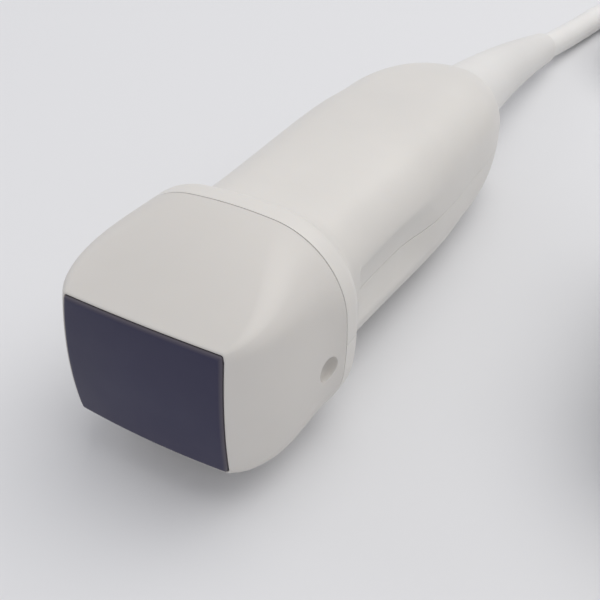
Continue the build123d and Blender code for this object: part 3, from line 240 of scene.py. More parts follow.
@dataclass(frozen=True)
class NodeGroups:
    """Shader node groups shared by the materials.

    Attributes:
        fine_detail: octaves of the fine grain.
        fine_roughness: weight of its finer octaves.
        broad_share: scale of the broad gloss drift against the fine grain's.
        broad_detail: octaves of that drift.
        drift_detail: octaves of the tone's drift.
        wobble: how far the bands of a weave wander.
    """

    fine_detail: float = 3.0
    fine_roughness: float = 0.6
    broad_share: float = 0.06
    broad_detail: float = 2.0
    drift_detail: float = 4.0
    wobble: float = 0.6

    @staticmethod
    def _new(
        name: str, inputs: Iterable[tuple[str, float]], outputs: Iterable[str]
    ) -> tuple[bpy.types.NodeTree, bpy.types.Node, bpy.types.Node]:
        """Make an empty group with a place, float inputs and float outputs.

        Args:
            name: name of the group.
            inputs: names and default values of its float inputs.
            outputs: names of its float outputs.

        Returns:
            The node tree, its input node and its output node.
        """
        tree = bpy.data.node_groups.new(name, "ShaderNodeTree")
        tree.interface.new_socket("Place", in_out="INPUT", socket_type="NodeSocketVector")
        for label, value in inputs:
            socket = tree.interface.new_socket(label, in_out="INPUT", socket_type="NodeSocketFloat")
            socket.default_value = value
        for label in outputs:
            tree.interface.new_socket(label, in_out="OUTPUT", socket_type="NodeSocketFloat")
        return tree, tree.nodes.new("NodeGroupInput"), tree.nodes.new("NodeGroupOutput")

    def grain(self) -> bpy.types.NodeTree:
        """Fine moulded, rubbed or brushed grain.

        Returns:
            The group, with a height and a gloss mask.
        """
        inputs = [("Scale", 2600.0), ("Stretch", 1.0)]
        tree, entry, leave = self._new("fine_grain", inputs, ["Height", "Gloss"])
        links = tree.links
        squeeze = add_node(tree, "CombineXYZ", {"X": 1.0, "Z": 1.0})
        links.new(entry.outputs["Stretch"], squeeze.inputs["Y"])
        scaled = add_node(tree, "VectorMath", operation="MULTIPLY")
        links.new(entry.outputs["Place"], scaled.inputs[0])
        links.new(squeeze.outputs["Vector"], scaled.inputs[1])
        fine = add_node(tree, "TexNoise", {"Detail": self.fine_detail, "Roughness": self.fine_roughness})
        links.new(scaled.outputs["Vector"], fine.inputs["Vector"])
        links.new(entry.outputs["Scale"], fine.inputs["Scale"])
        broad_scale = add_node(tree, "Math", {1: self.broad_share}, operation="MULTIPLY")
        links.new(entry.outputs["Scale"], broad_scale.inputs[0])
        broad = add_node(tree, "TexNoise", {"Detail": self.broad_detail})
        links.new(scaled.outputs["Vector"], broad.inputs["Vector"])
        links.new(broad_scale.outputs["Value"], broad.inputs["Scale"])
        links.new(fine.outputs["Fac"], leave.inputs["Height"])
        links.new(broad.outputs["Fac"], leave.inputs["Gloss"])
        return tree

    def drift(self) -> bpy.types.NodeTree:
        """Slow drift of tone.

        Returns:
            The group, with the drift as a mask.
        """
        tree, entry, leave = self._new("tone_drift", [("Scale", 35.0)], ["Drift"])
        slow = add_node(tree, "TexNoise", {"Detail": self.drift_detail})
        tree.links.new(entry.outputs["Place"], slow.inputs["Vector"])
        tree.links.new(entry.outputs["Scale"], slow.inputs["Scale"])
        tree.links.new(slow.outputs["Fac"], leave.inputs["Drift"])
        return tree

    def weave(self) -> bpy.types.NodeTree:
        """Crossed bands, like webbing.

        Returns:
            The group, with a height and a gloss mask.
        """
        tree, entry, leave = self._new("webbing", [("Scale", 900.0)], ["Height", "Gloss"])
        links = tree.links
        bands = []
        for direction in ("X", "Z"):
            wave = add_node(tree, "TexWave", {"Distortion": self.wobble}, bands_direction=direction)
            links.new(entry.outputs["Place"], wave.inputs["Vector"])
            links.new(entry.outputs["Scale"], wave.inputs["Scale"])
            bands.append(wave.outputs["Fac"])
        both = add_node(tree, "Math", operation="MAXIMUM")
        links.new(bands[0], both.inputs[0])
        links.new(bands[1], both.inputs[1])
        links.new(both.outputs["Value"], leave.inputs["Height"])
        links.new(bands[0], leave.inputs["Gloss"])
        return tree


class MaterialShop:
    """Makes one material for each finish, on the shared groups.

    Attributes:
        scatter_reach: subsurface radius of red, green and blue, before scatter_scale.
        brushing: how far the grain is stretched on metal.
        drift_scale: scale of the tone's drift, but for boards, which have board_scale.
        drift_band: part of the drift that is spread over the mottle.
        gloss_spread: how far the roughness strays from its mean.
    """

    scatter_reach: Triple = (0.004, 0.003, 0.002)
    scatter_scale: float = 0.5
    coat_roughness: float = 0.25
    brushing: float = 0.06
    drift_scale: float = 35.0
    board_scale: float = 400.0
    drift_band: Pair = (0.3, 0.7)
    gloss_spread: Pair = (-0.05, 0.07)
    bump_strength: float = 0.6

    def __init__(self) -> None:
        """Build the shared groups once."""
        groups = NodeGroups()
        self.grain, self.drift, self.weave = groups.grain(), groups.drift(), groups.weave()
        self.made: dict[str, bpy.types.Material] = {}

    def get(self, key: str) -> bpy.types.Material:
        """Material of a finish, made on first use.

        Args:
            key: name of the finish.

        Returns:
            The material.
        """
        if key not in self.made:
            self.made[key] = self._build(FINISHES[key])
        return self.made[key]

    def _build(self, finish: Finish) -> bpy.types.Material:
        """Wire one finish's shader.

        Args:
            finish: the finish.

        Returns:
            The new material.
        """
        material = bpy.data.materials.new(finish.name)
        material.use_nodes = True
        tree = material.node_tree
        links = tree.links
        shader = tree.nodes["Principled BSDF"]
        shader.inputs["Metallic"].default_value = finish.metallic
        shader.inputs["Subsurface Weight"].default_value = finish.scatter
        shader.inputs["Subsurface Radius"].default_value = self.scatter_reach
        shader.inputs["Subsurface Scale"].default_value = self.scatter_scale
        shader.inputs["Coat Weight"].default_value = finish.coat
        shader.inputs["Coat Roughness"].default_value = self.coat_roughness
        place = add_node(tree, "TexCoord").outputs["Object"]

        group = self.weave if finish.look is Look.WOVEN else self.grain
        grain = add_node(tree, "Group", node_tree=group)
        grain.inputs["Scale"].default_value = finish.grain
        if finish.look is Look.METAL:
            grain.inputs["Stretch"].default_value = self.brushing
        links.new(place, grain.inputs["Place"])

        drift = add_node(tree, "Group", node_tree=self.drift)
        scale = self.board_scale if finish.look is Look.BOARD else self.drift_scale
        drift.inputs["Scale"].default_value = scale
        links.new(place, drift.inputs["Place"])
        low, high = self.drift_band
        span = {"To Min": 1.0 - finish.mottle, "To Max": 1.0 + finish.mottle}
        tone = add_node(tree, "MapRange", {"From Min": low, "From Max": high, **span})
        links.new(drift.outputs["Drift"], tone.inputs["Value"])
        tint = add_node(tree, "VectorMath", {0: finish.colour}, operation="SCALE")
        links.new(tone.outputs["Result"], tint.inputs["Scale"])
        colour = tint.outputs["Vector"]
        # Painted highlight: the edge mask adds colour along eased edges, in place of the light that their
        # rounding catches.
        if finish.painted_edge_highlight:
            edge = add_node(tree, "Attribute", attribute_name="edge")
            lift = add_node(tree, "VectorMath", {1: finish.painted_edge_highlight}, operation="MULTIPLY_ADD")
            links.new(edge.outputs["Fac"], lift.inputs[0])
            links.new(colour, lift.inputs[2])
            colour = lift.outputs["Vector"]
        links.new(colour, shader.inputs["Base Color"])

        least, most = (finish.roughness + spread for spread in self.gloss_spread)
        gloss = add_node(tree, "MapRange", {"To Min": least, "To Max": most})
        links.new(grain.outputs["Gloss"], gloss.inputs["Value"])
        links.new(gloss.outputs["Result"], shader.inputs["Roughness"])

        bump = add_node(tree, "Bump", {"Strength": self.bump_strength, "Distance": finish.depth})
        links.new(grain.outputs["Height"], bump.inputs["Height"])
        links.new(bump.outputs["Normal"], shader.inputs["Normal"])
        return material


@dataclass(frozen=True)
class Section:
    """Crowned rounded rectangle across the probe: half sizes, bow of its sides, corner radius."""

    half_w: float
    half_h: float
    bow: float
    corner: float

    def inset(self, draw: float) -> "Section":
        """The section drawn in all round, with its bow kept."""
        return Section(self.half_w - draw, self.half_h - draw, self.bow, self.corner - draw)

    def _solve(self) -> tuple[float, float, Vector, Vector, Vector]:
        """Work out the arcs.

        Returns:
            Radii of the top and side arcs, the corner arc's centre, and its tangent points on top and side.
        """
        top_r = (self.half_w**2 + self.bow**2) / (2 * self.bow)
        side_r = (self.half_h**2 + self.bow**2) / (2 * self.bow)
        top_c = Vector((0.0, self.half_h - top_r))
        side_c = Vector((self.half_w - side_r, 0.0))
        reach_t, reach_s = top_r - self.corner, side_r - self.corner
        between = side_c - top_c
        along = (reach_t**2 - reach_s**2 + between.length_squared) / (2 * between.length)
        across = math.sqrt(max(reach_t**2 - along**2, 0.0))
        toward = between.normalized()
        foot = top_c + toward * along
        aside = Vector((-toward.y, toward.x)) * across
        centre = max(foot + aside, foot - aside, key=lambda p: p.x + p.y)
        on_top = top_c + (centre - top_c).normalized() * top_r
        on_side = side_c + (centre - side_c).normalized() * side_r
        return top_r, side_r, centre, on_top, on_side

    def side_at(self, height: float) -> float:
        """Distance from the axis to the side surface at a height.

        Args:
            height: height over the axis, up to the corner's middle.

        Returns:
            The distance across.
        """
        _, side_r, centre, _, on_side = self._solve()
        h = abs(height)
        if h <= on_side.y:
            return self.half_w - side_r + math.sqrt(side_r**2 - h**2)
        return centre.x + math.sqrt(max(self.corner**2 - (h - centre.y) ** 2, 0.0))

    def shoulder(self) -> float:
        """Height of the corner arc's middle."""
        _, _, centre, _, _ = self._solve()
        return centre.y + self.corner * math.sin(math.pi / 4)

    def crown_arc(self, pieces: int) -> list[Vector]:
        """Points from the right shoulder over the top to the left shoulder.

        Args:
            pieces: pieces in each corner's upper half and in each half of the top arc.

        Returns:
            Points across and up, both shoulders included.
        """
        top_r, _, centre, on_top, _ = self._solve()
        end = math.atan2(on_top.y - centre.y, on_top.x - centre.x)
        start = math.pi / 4
        points = []
        for k in range(pieces + 1):
            a = start + (end - start) * k / pieces
            points.append(centre + Vector((math.cos(a), math.sin(a))) * self.corner)
        reach = math.asin(min(1.0, on_top.x / top_r))
        for k in range(1, pieces + 1):
            a = reach * (1 - k / pieces)
            points.append(Vector((top_r * math.sin(a), self.half_h - top_r + top_r * math.cos(a))))
        mirrored = [Vector((-p.x, p.y)) for p in reversed(points[:-1])]
        return points + mirrored


def blend(start: float, end: float, share: float) -> float:
    """Value a share of the way from start to end."""
    return start + (end - start) * share


def steps(start: float, end: float, count: int) -> list[float]:
    """Evenly spaced values from start to end, both included."""
    return [blend(start, end, k / count) for k in range(count + 1)]


def ramp(value: float, start: float, end: float) -> float:
    """Soft step from 0 at start to 1 at end."""
    share = min(max((value - start) / (end - start), 0.0), 1.0)
    return share * share * (3 - 2 * share)


def eased(start: float, end: float, leave: float, arrive: float, length: float, t: float) -> float:
    """Cubic from start to end with given slopes at its ends.

    Args:
        start: value at the start.
        end: value at the end.
        leave: slope at the start.
        arrive: slope at the end.
        length: length of the stretch, in the slopes' units.
        t: share of the stretch.

    Returns:
        The value at t.
    """
    rise = 3 * t**2 - 2 * t**3
    slopes = leave * (t**3 - 2 * t**2 + t) + arrive * (t**3 - t**2)
    return start + (end - start) * rise + length * slopes


def envelope(across: float, up: float) -> float:
    """Station of the crowned front at a point of the lens or rim.

    Args:
        across: distance to the side.
        up: height over the axis.

    Returns:
        The station, which is negative in front of the lens corners.
    """
    r_across = SIZES.lens_half[0] ** 2 / (2 * SIZES.crown_across)
    r_up = SIZES.lens_half[1] ** 2 / (2 * SIZES.crown_up)
    fall = r_up - math.sqrt(r_up**2 - up**2)
    pivot = r_across - SIZES.crown_across - SIZES.crown_up
    return pivot - math.sqrt((r_across - fall) ** 2 - across**2)


def nose_section(station: float) -> Section:
    """Outer section of the nose.

    Args:
        station: station behind the lens corners.

    Returns:
        The section there.
    """
    z = SIZES
    t = min(max(station / z.nose_length, 0.0), 1.0)
    return Section(
        eased(z.lens_half[0] + z.rim, z.collar_half[0], *z.flare_across, z.nose_length, t),
        eased(z.lens_half[1] + z.rim, z.collar_half[1], *z.flare_up, z.nose_length, t),
        blend(z.lens_bow, z.collar_bow, t),
        blend(z.lens_corner + z.rim, z.collar_corner, t**z.nose_corner_power),
    )


def collar_share(setback: float) -> float:
    """How much of the collar is left at a setback.

    Args:
        setback: setback behind the parting line.

    Returns:
        1 on the collar's flat, falling over the knee and the flare to 0 on the handle.
    """
    z = SIZES
    if setback <= z.collar_flat:
        return 1.0
    if setback < z.collar_length:
        knee = z.collar_length - z.collar_flat
        return eased(1, z.knee_share, 0, z.knee_slope, knee, (setback - z.collar_flat) / knee)
    if setback < z.neck_setback:
        flare = z.neck_setback - z.collar_length
        return eased(z.knee_share, 0, z.knee_slope, 0, flare, (setback - z.collar_length) / flare)
    return 0.0


def handle_section(setback: float) -> Section:
    """Outer section of the handle.

    Args:
        setback: setback behind the parting line.

    Returns:
        The section there.
    """
    z = SIZES
    if setback <= z.tail_setback:
        share = collar_share(setback)
        halves = []
        for neck, belly, tail, collar in zip(z.neck_half, z.belly_half, z.tail_half, z.collar_half):
            if setback < z.belly_setback:
                t = max(0.0, (setback - z.neck_setback) / (z.belly_setback - z.neck_setback))
                grip = eased(neck, belly, 0, 0, 1, t)
            else:
                t = (setback - z.belly_setback) / (z.tail_setback - z.belly_setback)
                grip = eased(belly, tail, 0, 0, 1, t)
            halves.append(blend(grip, collar, share))
        bow = blend(z.handle_bow, z.collar_bow, share)
        return Section(*halves, bow, blend(z.handle_corner, z.collar_corner, share))
    reach = min((setback - z.tail_setback) / (z.handle_length - z.tail_setback), 1.0)
    fall = math.sqrt(max(0.0, 1 - reach**2))
    half_w = blend(z.root_radius, z.tail_half[0], fall)
    half_h = blend(z.root_radius, z.tail_half[1], fall)
    least = min(half_w, half_h)
    corner = min(blend(z.end_roundness * least, z.handle_corner, fall), z.end_roundness * least)
    return Section(half_w, half_h, blend(z.end_bow * least, z.handle_bow, fall), corner)


def finish_mesh(bm: bmesh.types.BMesh, name: str, crease: float = 40.0) -> bpy.types.Object:
    """Turn a bmesh into an object with smooth faces.

    Args:
        bm: the bmesh, which is freed.
        name: name of the object.
        crease: angle past which an edge stays sharp, degrees.

    Returns:
        The linked object.
    """
    mesh = bpy.data.meshes.new(name)
    for face in bm.faces:
        face.smooth = True
    for edge in bm.edges:
        if len(edge.link_faces) == 2 and edge.calc_face_angle(0.0) > math.radians(crease):
            edge.smooth = False
    bm.to_mesh(mesh)
    bm.free()
    obj = bpy.data.objects.new(name, mesh)
    bpy.context.scene.collection.objects.link(obj)
    return obj


@dataclass
class MeshMaker:
    """Draws one smooth skin out from its first ring of points through the others.

    Attributes:
        name: name of the object.
        closed: whether each ring closes on itself.
        rings: places of each ring's points, metres.
        edges: how far each ring lies on an eased edge, from 0 to 1, the mask along which a painted highlight
            is laid.
        weld: distance within which points are joined, metres.
    """

    name: str
    closed: bool = True
    rings: list[list[Vector]] = field(default_factory=list)
    edges: list[float] = field(default_factory=list)
    weld: float = 1e-7

    def ring(self, points: Iterable[Vector], edge: float = 0.0) -> None:
        """Add a ring of points of the probe's frame (across, behind, up), in millimetres."""
        self.rings.append([POSE.place(*p) for p in points])
        self.edges.append(edge)

    def _pairs(self, row: list[bmesh.types.BMVert]) -> list[tuple[bmesh.types.BMVert, bmesh.types.BMVert]]:
        """Neighbours along a row, with its last and first where rings close."""
        return list(zip(row, row[1:] + row[:1] if self.closed else row[1:]))

    def build(self, capped: bool = False) -> bpy.types.Object:
        """Make the object.

        Args:
            capped: close the last ring with a fan round its centre.

        Returns:
            The new object, linked, smooth shaded, at the origin.
        """
        bm = bmesh.new()
        # The edge layer is the mask of the painted highlight along eased edges.
        layer = bm.verts.layers.float.new("edge") if any(self.edges) else None
        row = [bm.verts.new(place) for place in self.rings[0]]
        rim = [bm.edges.new(pair) for pair in self._pairs(row)]
        for k, places in enumerate(self.rings):
            if k:
                grown = bmesh.ops.extrude_edge_only(bm, edges=rim)["geom"]
                fresh = {item for item in grown if isinstance(item, bmesh.types.BMVert)}
                row = [next(e.other_vert(v) for e in v.link_edges if e.other_vert(v) in fresh) for v in row]
                rim = [bm.edges.get(pair) for pair in self._pairs(row)]
            for vert, place in zip(row, places):
                vert.co = place
                if layer is not None:
                    vert[layer] = self.edges[k]
        if capped:
            lid = bmesh.ops.edgeloop_fill(bm, edges=rim)["faces"]
            bmesh.ops.poke(bm, faces=lid, center_mode="MEAN")
        bmesh.ops.remove_doubles(bm, verts=bm.verts, dist=self.weld)
        bmesh.ops.recalc_face_normals(bm, faces=bm.faces)
        return finish_mesh(bm, self.name)


@dataclass
class Piece:
    """One dressed piece of the probe."""

    shop: MaterialShop

    def settle(self, obj: bpy.types.Object, slot: str, *nodes: str) -> bpy.types.Object:
        """Give an object its material, slot, body and the nodes that it replaces.

        Args:
            obj: the object.
            slot: record slot, which is also the finish.
            nodes: CAD nodes that it stands for.

        Returns:
            The object.
        """
        obj.data.materials.append(self.shop.get(slot))
        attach(obj, "root")
        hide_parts(*nodes)
        return obj


@dataclass
class Lens(Piece):
    """Crowned silicone lens with an eased edge.

    Attributes:
        edge: radius of the eased edge.
        seat_gap: gap between the lens's back edge and its seat.
        flank: station where the flank ends.
        least_corner: smallest corner of a drawn-in loop.
        turns: steps round the eased edge.
        shares: how far out the rings of the face lie.
    """

    edge: float = 0.55
    seat_gap: float = 0.1
    flank: float = 0.6
    least_corner: float = 0.3
    turns: int = 6
    shares: tuple[float, ...] = (0.97, 0.93, 0.88, 0.8, 0.7, 0.58, 0.45, 0.32, 0.18, 0.06)

    def build(self) -> bpy.types.Object:
        """Make the lens.

        Returns:
            The lens object.
        """
        full = Section(*SIZES.lens_half, SIZES.lens_bow, SIZES.lens_corner)
        maker = MeshMaker("lens_front")
        # The ring weights mark the flank and the eased edge, where the lens's material lays its painted
        # highlight.
        for station in (SIZES.lens_edge - self.seat_gap, self.flank):
            maker.ring([Vector((p.x, station, p.y)) for p in self._loop(full)], 1.0)
        for k in range(self.turns + 1):
            angle = math.radians(90 * k / self.turns)
            sink = self.edge * (1 - math.sin(angle))
            loop = self._loop(self._inner(full, self.edge * (1 - math.cos(angle))))
            maker.ring([self._on_crown(p, sink) for p in loop], math.cos(angle))
        loop = self._loop(self._inner(full, self.edge))
        for share in self.shares:
            maker.ring([self._on_crown(p * share, 0.0) for p in loop])
        return self.settle(maker.build(capped=True), "lens_rubber", "acoustic_lens")

    def _inner(self, section: Section, draw: float) -> Section:
        """The same section drawn in, with a corner that stays round."""
        corner = max(section.corner - draw, self.least_corner)
        return Section(section.half_w - draw, section.half_h - draw, section.bow, corner)

    @staticmethod
    def _loop(section: Section, crown_pieces: int = 10, side_pieces: int = 16) -> list[Vector]:
        """Closed loop round a section.

        Args:
            section: the section.
            crown_pieces: pieces of each half corner and each half of top and bottom.
            side_pieces: pieces of each side.

        Returns:
            Points across and up.
        """
        upper = section.crown_arc(crown_pieces)
        rise = section.shoulder()
        left = [Vector((-section.side_at(h), h)) for h in steps(rise, -rise, side_pieces)[1:-1]]
        return upper + left + [-p for p in upper] + [-p for p in left]

    @staticmethod
    def _on_crown(point: Vector, sink: float) -> Vector:
        """Point of the crowned face, set back by sink."""
        return Vector((point.x, envelope(point.x, point.y) + sink, point.y))


@dataclass
class NoseShell(Piece):
    """Nose moulding with its thin rim round the lens and the marker dimple on one side.

    Attributes:
        gap: gap round the lens.
        ease: rounding of the rim's edges.
        lip_setback: how far the rim stays behind the lens's face.
        lip_fade: station behind which the rings are level again.
        front: stations of the rings behind the rim.
        back_gap: how far the last outer ring stays in front of the parting line.
        back: draw and gap of the rings that turn in at the parting line.
        spigot: draw and reach of the spigot inside the handle.
        cells: cells of the dimple's patch each way from its centre.
        patch: half side of the dimple's patch.
        mouth: width of the dimple's eased mouth and how far it is sunk.
        bowl: power of the dimple's ring spacing and of its depth.
        floor_extra: depth added inside the mouth.
    """

    gap: float = 0.08
    ease: float = 0.12
    lip_setback: float = 0.4
    lip_fade: float = 4.0
    front: tuple[float, ...] = (0.0, 0.3, 0.7, 1.2, 1.9, 2.8, 4.0)
    back_gap: float = 0.22
    back: tuple[Pair, ...] = ((0.05, 0.06), (0.16, 0.08), (2.4, 0.08))
    spigot: Pair = (2.5, 2.9)
    cells: int = 12
    patch: float = 3.3
    mouth: Pair = (0.3, 0.015)
    bowl: Pair = (0.75, 0.65)
    floor_extra: float = 0.05

    def build(self) -> bpy.types.Object:
        """Make the nose.

        Returns:
            The nose object.
        """
        maker = MeshMaker("nose")
        wall = Section(*SIZES.lens_half, SIZES.lens_bow, SIZES.lens_corner).inset(-self.gap)
        maker.ring(self._loop(wall, lambda x, z: SIZES.lens_edge))
        maker.ring(self._loop(wall, lambda x, z: self._lip(x, z) + self.ease))
        maker.ring(self._loop(wall.inset(-self.ease), self._lip))
        maker.ring(self._loop(nose_section(0.0).inset(self.ease), self._lip))
        for station in self._stations():
            lead = max(0.0, 1 - station / self.lip_fade) ** 2
            section = nose_section(station)
            plain = self._loop(section, lambda x, z: station + (self._lip(x, z) + self.ease) * lead)
            maker.ring([self._dimpled(place) for place in plain])
        last = nose_section(SIZES.nose_length)
        for draw, behind in self.back:
            maker.ring(self._loop(last.inset(draw), lambda x, z: SIZES.nose_length - behind))
        draw, reach = self.spigot
        maker.ring(self._loop(last.inset(draw), lambda x, z: SIZES.nose_length + reach))
        return self.settle(maker.build(), "nose_white", "nose_shell")

    def _lip(self, across: float, up: float) -> float:
        """Station of the rim's front, a little behind the lens's face."""
        return envelope(across, up) + self.lip_setback

    def _stations(self) -> list[float]:
        """Stations of the outer rings.

        Returns:
            The stations, evenly spaced over the dimple.
        """
        first = SIZES.dimple_station - self.patch
        last = SIZES.dimple_station + self.patch
        before = [*self.front] + steps(self.front[-1], first, self.cells)[1:]
        return before + steps(first, last, 2 * self.cells)[1:] + [SIZES.nose_length - self.back_gap]

    def _loop(
        self,
        section: Section,
        station: Callable[[float, float], float],
        low_pieces: int = 10,
        high_pieces: int = 12,
        crown_pieces: int = 14,
    ) -> list[Vector]:
        """Closed loop round the nose.

        Args:
            section: section of the loop.
            station: station at a point of the loop, from its distance across and its height.
            low_pieces: pieces of the right side under the dimple's patch.
            high_pieces: pieces of the right side over it.
            crown_pieces: pieces of each half corner and each half of top and bottom.

        Returns:
            Points (across, behind, up), counterclockwise seen from the front's right side.
        """
        rise = section.shoulder()
        low, high = -SIZES.dimple_drop - self.patch, -SIZES.dimple_drop + self.patch
        heights = steps(-rise, low, low_pieces)[1:] + steps(low, high, 2 * self.cells)[1:-1]
        heights += steps(high, rise, high_pieces)[:-1]
        flat = [Vector((section.side_at(h), h)) for h in heights]
        upper = section.crown_arc(crown_pieces)
        left = [Vector((-section.side_at(h), h)) for h in steps(rise, -rise, 2 * high_pieces)[1:-1]]
        flat += upper + left + [-p for p in upper]
        return [Vector((p.x, station(p.x, p.y), p.y)) for p in flat]

    def _dimpled(self, place: Vector) -> Vector:
        """Carry a point of the patch onto loops round the dimple, and sink those inside it.

        Args:
            place: point of the plain nose.

        Returns:
            The point, unchanged outside the patch.
        """
        u, v = place.y - SIZES.dimple_station, place.z + SIZES.dimple_drop
        shell = max(abs(u), abs(v))
        if place.x < 0 or shell >= self.patch - HAIR:
            return place
        radius, reach = SIZES.dimple_radius, max(math.hypot(u, v), HAIR)
        scale = blend(shell / reach, 1.0, ramp(shell, radius, self.patch))
        sink = 0.0
        if shell < radius + HAIR:
            angle = math.pi / 2 * min(shell / radius, 1.0)
            scale = math.sin(angle) ** self.bowl[0] * radius / reach
            sink = SIZES.dimple_depth * max(math.cos(angle), 0.0) ** self.bowl[1] + self.floor_extra
        elif shell < radius + self.mouth[0]:
            sink = self.mouth[1]
        s, h = SIZES.dimple_station + u * scale, -SIZES.dimple_drop + v * scale
        return Vector((nose_section(s).side_at(h) - sink, s, h))


@dataclass
class HandleShell(Piece):
    """Upper or lower shell of the handle, with the collar, half of each finger groove and the dome.

    Attributes:
        side: 1 for the upper shell, -1 for the lower.
        seam: half the gap between the shells.
        seam_rows: how far over the seam its eased edge and the first even row lie.
        seam_depths: how far the seam's inner points lie inside.
        start: gap at the parting line.
        ease: rounding of the collar's front edge.
        collar_wall: how far the collar's front face reaches in.
        ease_share: share of that rounding where its middle ring lies.
        collar_rows: setbacks of the collar's first rings.
        spans: start, end and pieces of the even rings behind them.
        dome_rows: rings of the dome.
        turn_in: draw and shift of the rings at the strain relief.
        turn_in_bow: share of the draw that the bow loses there.
        grip: height up to which the sides are finely divided, and its most as a share of the shoulder's.
        pieces: pieces of the fine part, of the part over it and of each half of the crown.
        groove_ease: softness of the groove's long edges.
        groove_entry: setbacks from the groove's start over which its front edge sinks.
        groove_fade: setbacks over which the groove fades out.
    """

    side: int = 1
    seam: float = 0.03
    seam_rows: Pair = (0.12, 0.3)
    seam_depths: Pair = (0.9, 0.1)
    start: float = 0.1
    ease: float = 0.14
    collar_wall: float = 2.45
    ease_share: float = 0.3
    collar_rows: tuple[float, ...] = (0.28, 0.6, 1.2, 1.9, 2.4)
    spans: tuple[tuple[float, float, int], ...] = (
        (SIZES.collar_flat, SIZES.groove_start - 0.2, 16),
        (SIZES.groove_start - 0.1, SIZES.groove_start + 1.3, 20),
        (SIZES.groove_start + 1.5, SIZES.neck_setback + 40, 64),
        (SIZES.neck_setback + 41, SIZES.tail_setback, 14),
    )
    dome_rows: int = 30
    turn_in: tuple[Pair, ...] = ((0.5, 0.0), (1.6, -0.1), (2.2, -0.5))
    turn_in_bow: float = 0.4
    grip: Pair = (9.0, 0.75)
    pieces: tuple[int, int, int] = (26, 6, 14)
    groove_ease: float = 0.16
    groove_entry: Pair = (-0.05, 0.75)
    groove_fade: Pair = (30.0, 46.0)

    def build(self) -> bpy.types.Object:
        """Make the shell.

        Returns:
            The shell object.
        """
        half = "upper" if self.side > 0 else "lower"
        maker = MeshMaker(f"handle_{half}", closed=False)
        front = handle_section(0.0)
        soft = self.ease * self.ease_share
        for draw, setback in ((self.collar_wall, 0.0), (self.ease, 0.0), (soft, soft)):
            maker.ring(self._arch(front.inset(draw), self.start + setback))
        for setback in self._setbacks():
            maker.ring(self._arch(handle_section(setback), setback))
        end = handle_section(SIZES.handle_length)
        for draw, more in self.turn_in:
            bow = end.bow - draw * self.turn_in_bow
            section = Section(end.half_w - draw, end.half_h - draw, bow, end.corner - draw)
            maker.ring(self._arch(section, SIZES.handle_length + more))
        return self.settle(maker.build(), "housing_white", f"handle_shell_{half}")

    def _setbacks(self) -> list[float]:
        """Setbacks of the rings, close together round the collar's knee and the groove's front.

        Returns:
            The setbacks from the collar to the dome's end.
        """
        rows = list(self.collar_rows)
        for span in self.spans:
            rows += steps(*span)
        for k in range(1, self.dome_rows + 1):
            share = math.sin(math.pi / 2 * k / self.dome_rows)
            rows.append(blend(SIZES.tail_setback, SIZES.handle_length, share))
        return rows

    def _arch(self, section: Section, setback: float) -> list[Vector]:
        """Open arch from the right seam over the shell to the left seam.

        Args:
            section: outer section.
            setback: setback behind the parting line.

        Returns:
            Points (across, behind, up).
        """
        station = SIZES.nose_length + setback
        rise = section.shoulder()
        fine = min(self.grip[0], rise * self.grip[1])
        low, high, crown = self.pieces
        lip_row, first_row = (self.seam + over for over in self.seam_rows)
        heights = [lip_row] + steps(first_row, fine, low) + steps(fine, rise, high)[1:-1]
        lip = self._grooved(section.side_at(self.seam), setback, self.seam)
        flat = [Vector((lip - depth, self.seam)) for depth in self.seam_depths]
        flat += [Vector((self._grooved(section.side_at(h), setback, h), h)) for h in heights]
        flat += section.crown_arc(crown) + [Vector((-p.x, p.y)) for p in reversed(flat)]
        return [Vector((p.x, station, p.y * self.side)) for p in flat]

    def _grooved(self, x: float, setback: float, height: float) -> float:
        """Side surface with the finger groove taken out of it.

        Args:
            x: distance across to the plain side.
            setback: setback behind the parting line.
            height: height over the seam.

        Returns:
            The distance across to the surface.
        """
        z = SIZES
        entry = ramp(setback - z.groove_start, *self.groove_entry)
        keep = entry * (1 - ramp(setback, *self.groove_fade))
        bar = (z.groove_half_height**2 + z.groove_depth**2) / (2 * z.groove_depth)
        if keep == 0 or abs(height) >= bar:
            return x
        arc = (z.groove_half_length**2 + z.groove_depth**2) / (2 * z.groove_depth)
        floor = handle_section(z.groove_centre).half_w - z.groove_depth
        dip = arc - math.sqrt(arc**2 - (setback - z.groove_centre) ** 2)
        cut = floor + bar + dip - math.sqrt(bar**2 - height**2)
        soft = self.groove_ease
        inner = min(x, cut)
        if abs(x - cut) < 5 * soft:
            inner = -soft * math.log(math.exp(-x / soft) + math.exp(-cut / soft))
        return blend(x, min(inner, x), keep)


class BentAxis:
    """Arc that the strain relief and the cable inside it follow, in the probe's frame."""

    def __init__(self) -> None:
        """Work out the arc from the sizes."""
        self.turn = math.radians(SIZES.relief_bend)
        self.radius = SIZES.relief_length / self.turn
        side = math.radians(SIZES.relief_side)
        self.lean = Vector((math.sin(side), 0.0, -math.cos(side)))
        self.root = Vector((0.0, SIZES.nose_length + SIZES.handle_length, 0.0))
        self.ahead = Vector((0.0, 1.0, 0.0))

    def frame(self, share: float) -> tuple[Vector, Vector, Vector]:
        """Cross frame of the arc.

        Args:
            share: share of the boot's length.

        Returns:
            The centre and the two cross directions there.
        """
        turn = self.turn * share
        reach, fall = self.radius * math.sin(turn), self.radius * (1 - math.cos(turn))
        centre = self.root + self.ahead * reach + self.lean * fall
        across = self.lean.cross(self.ahead).normalized()
        return centre, across, self.heading(share).cross(across).normalized()

    def heading(self, share: float) -> Vector:
        """Direction of travel at a share of the boot's length."""
        turn = self.turn * share
        return self.ahead * math.cos(turn) + self.lean * math.sin(turn)


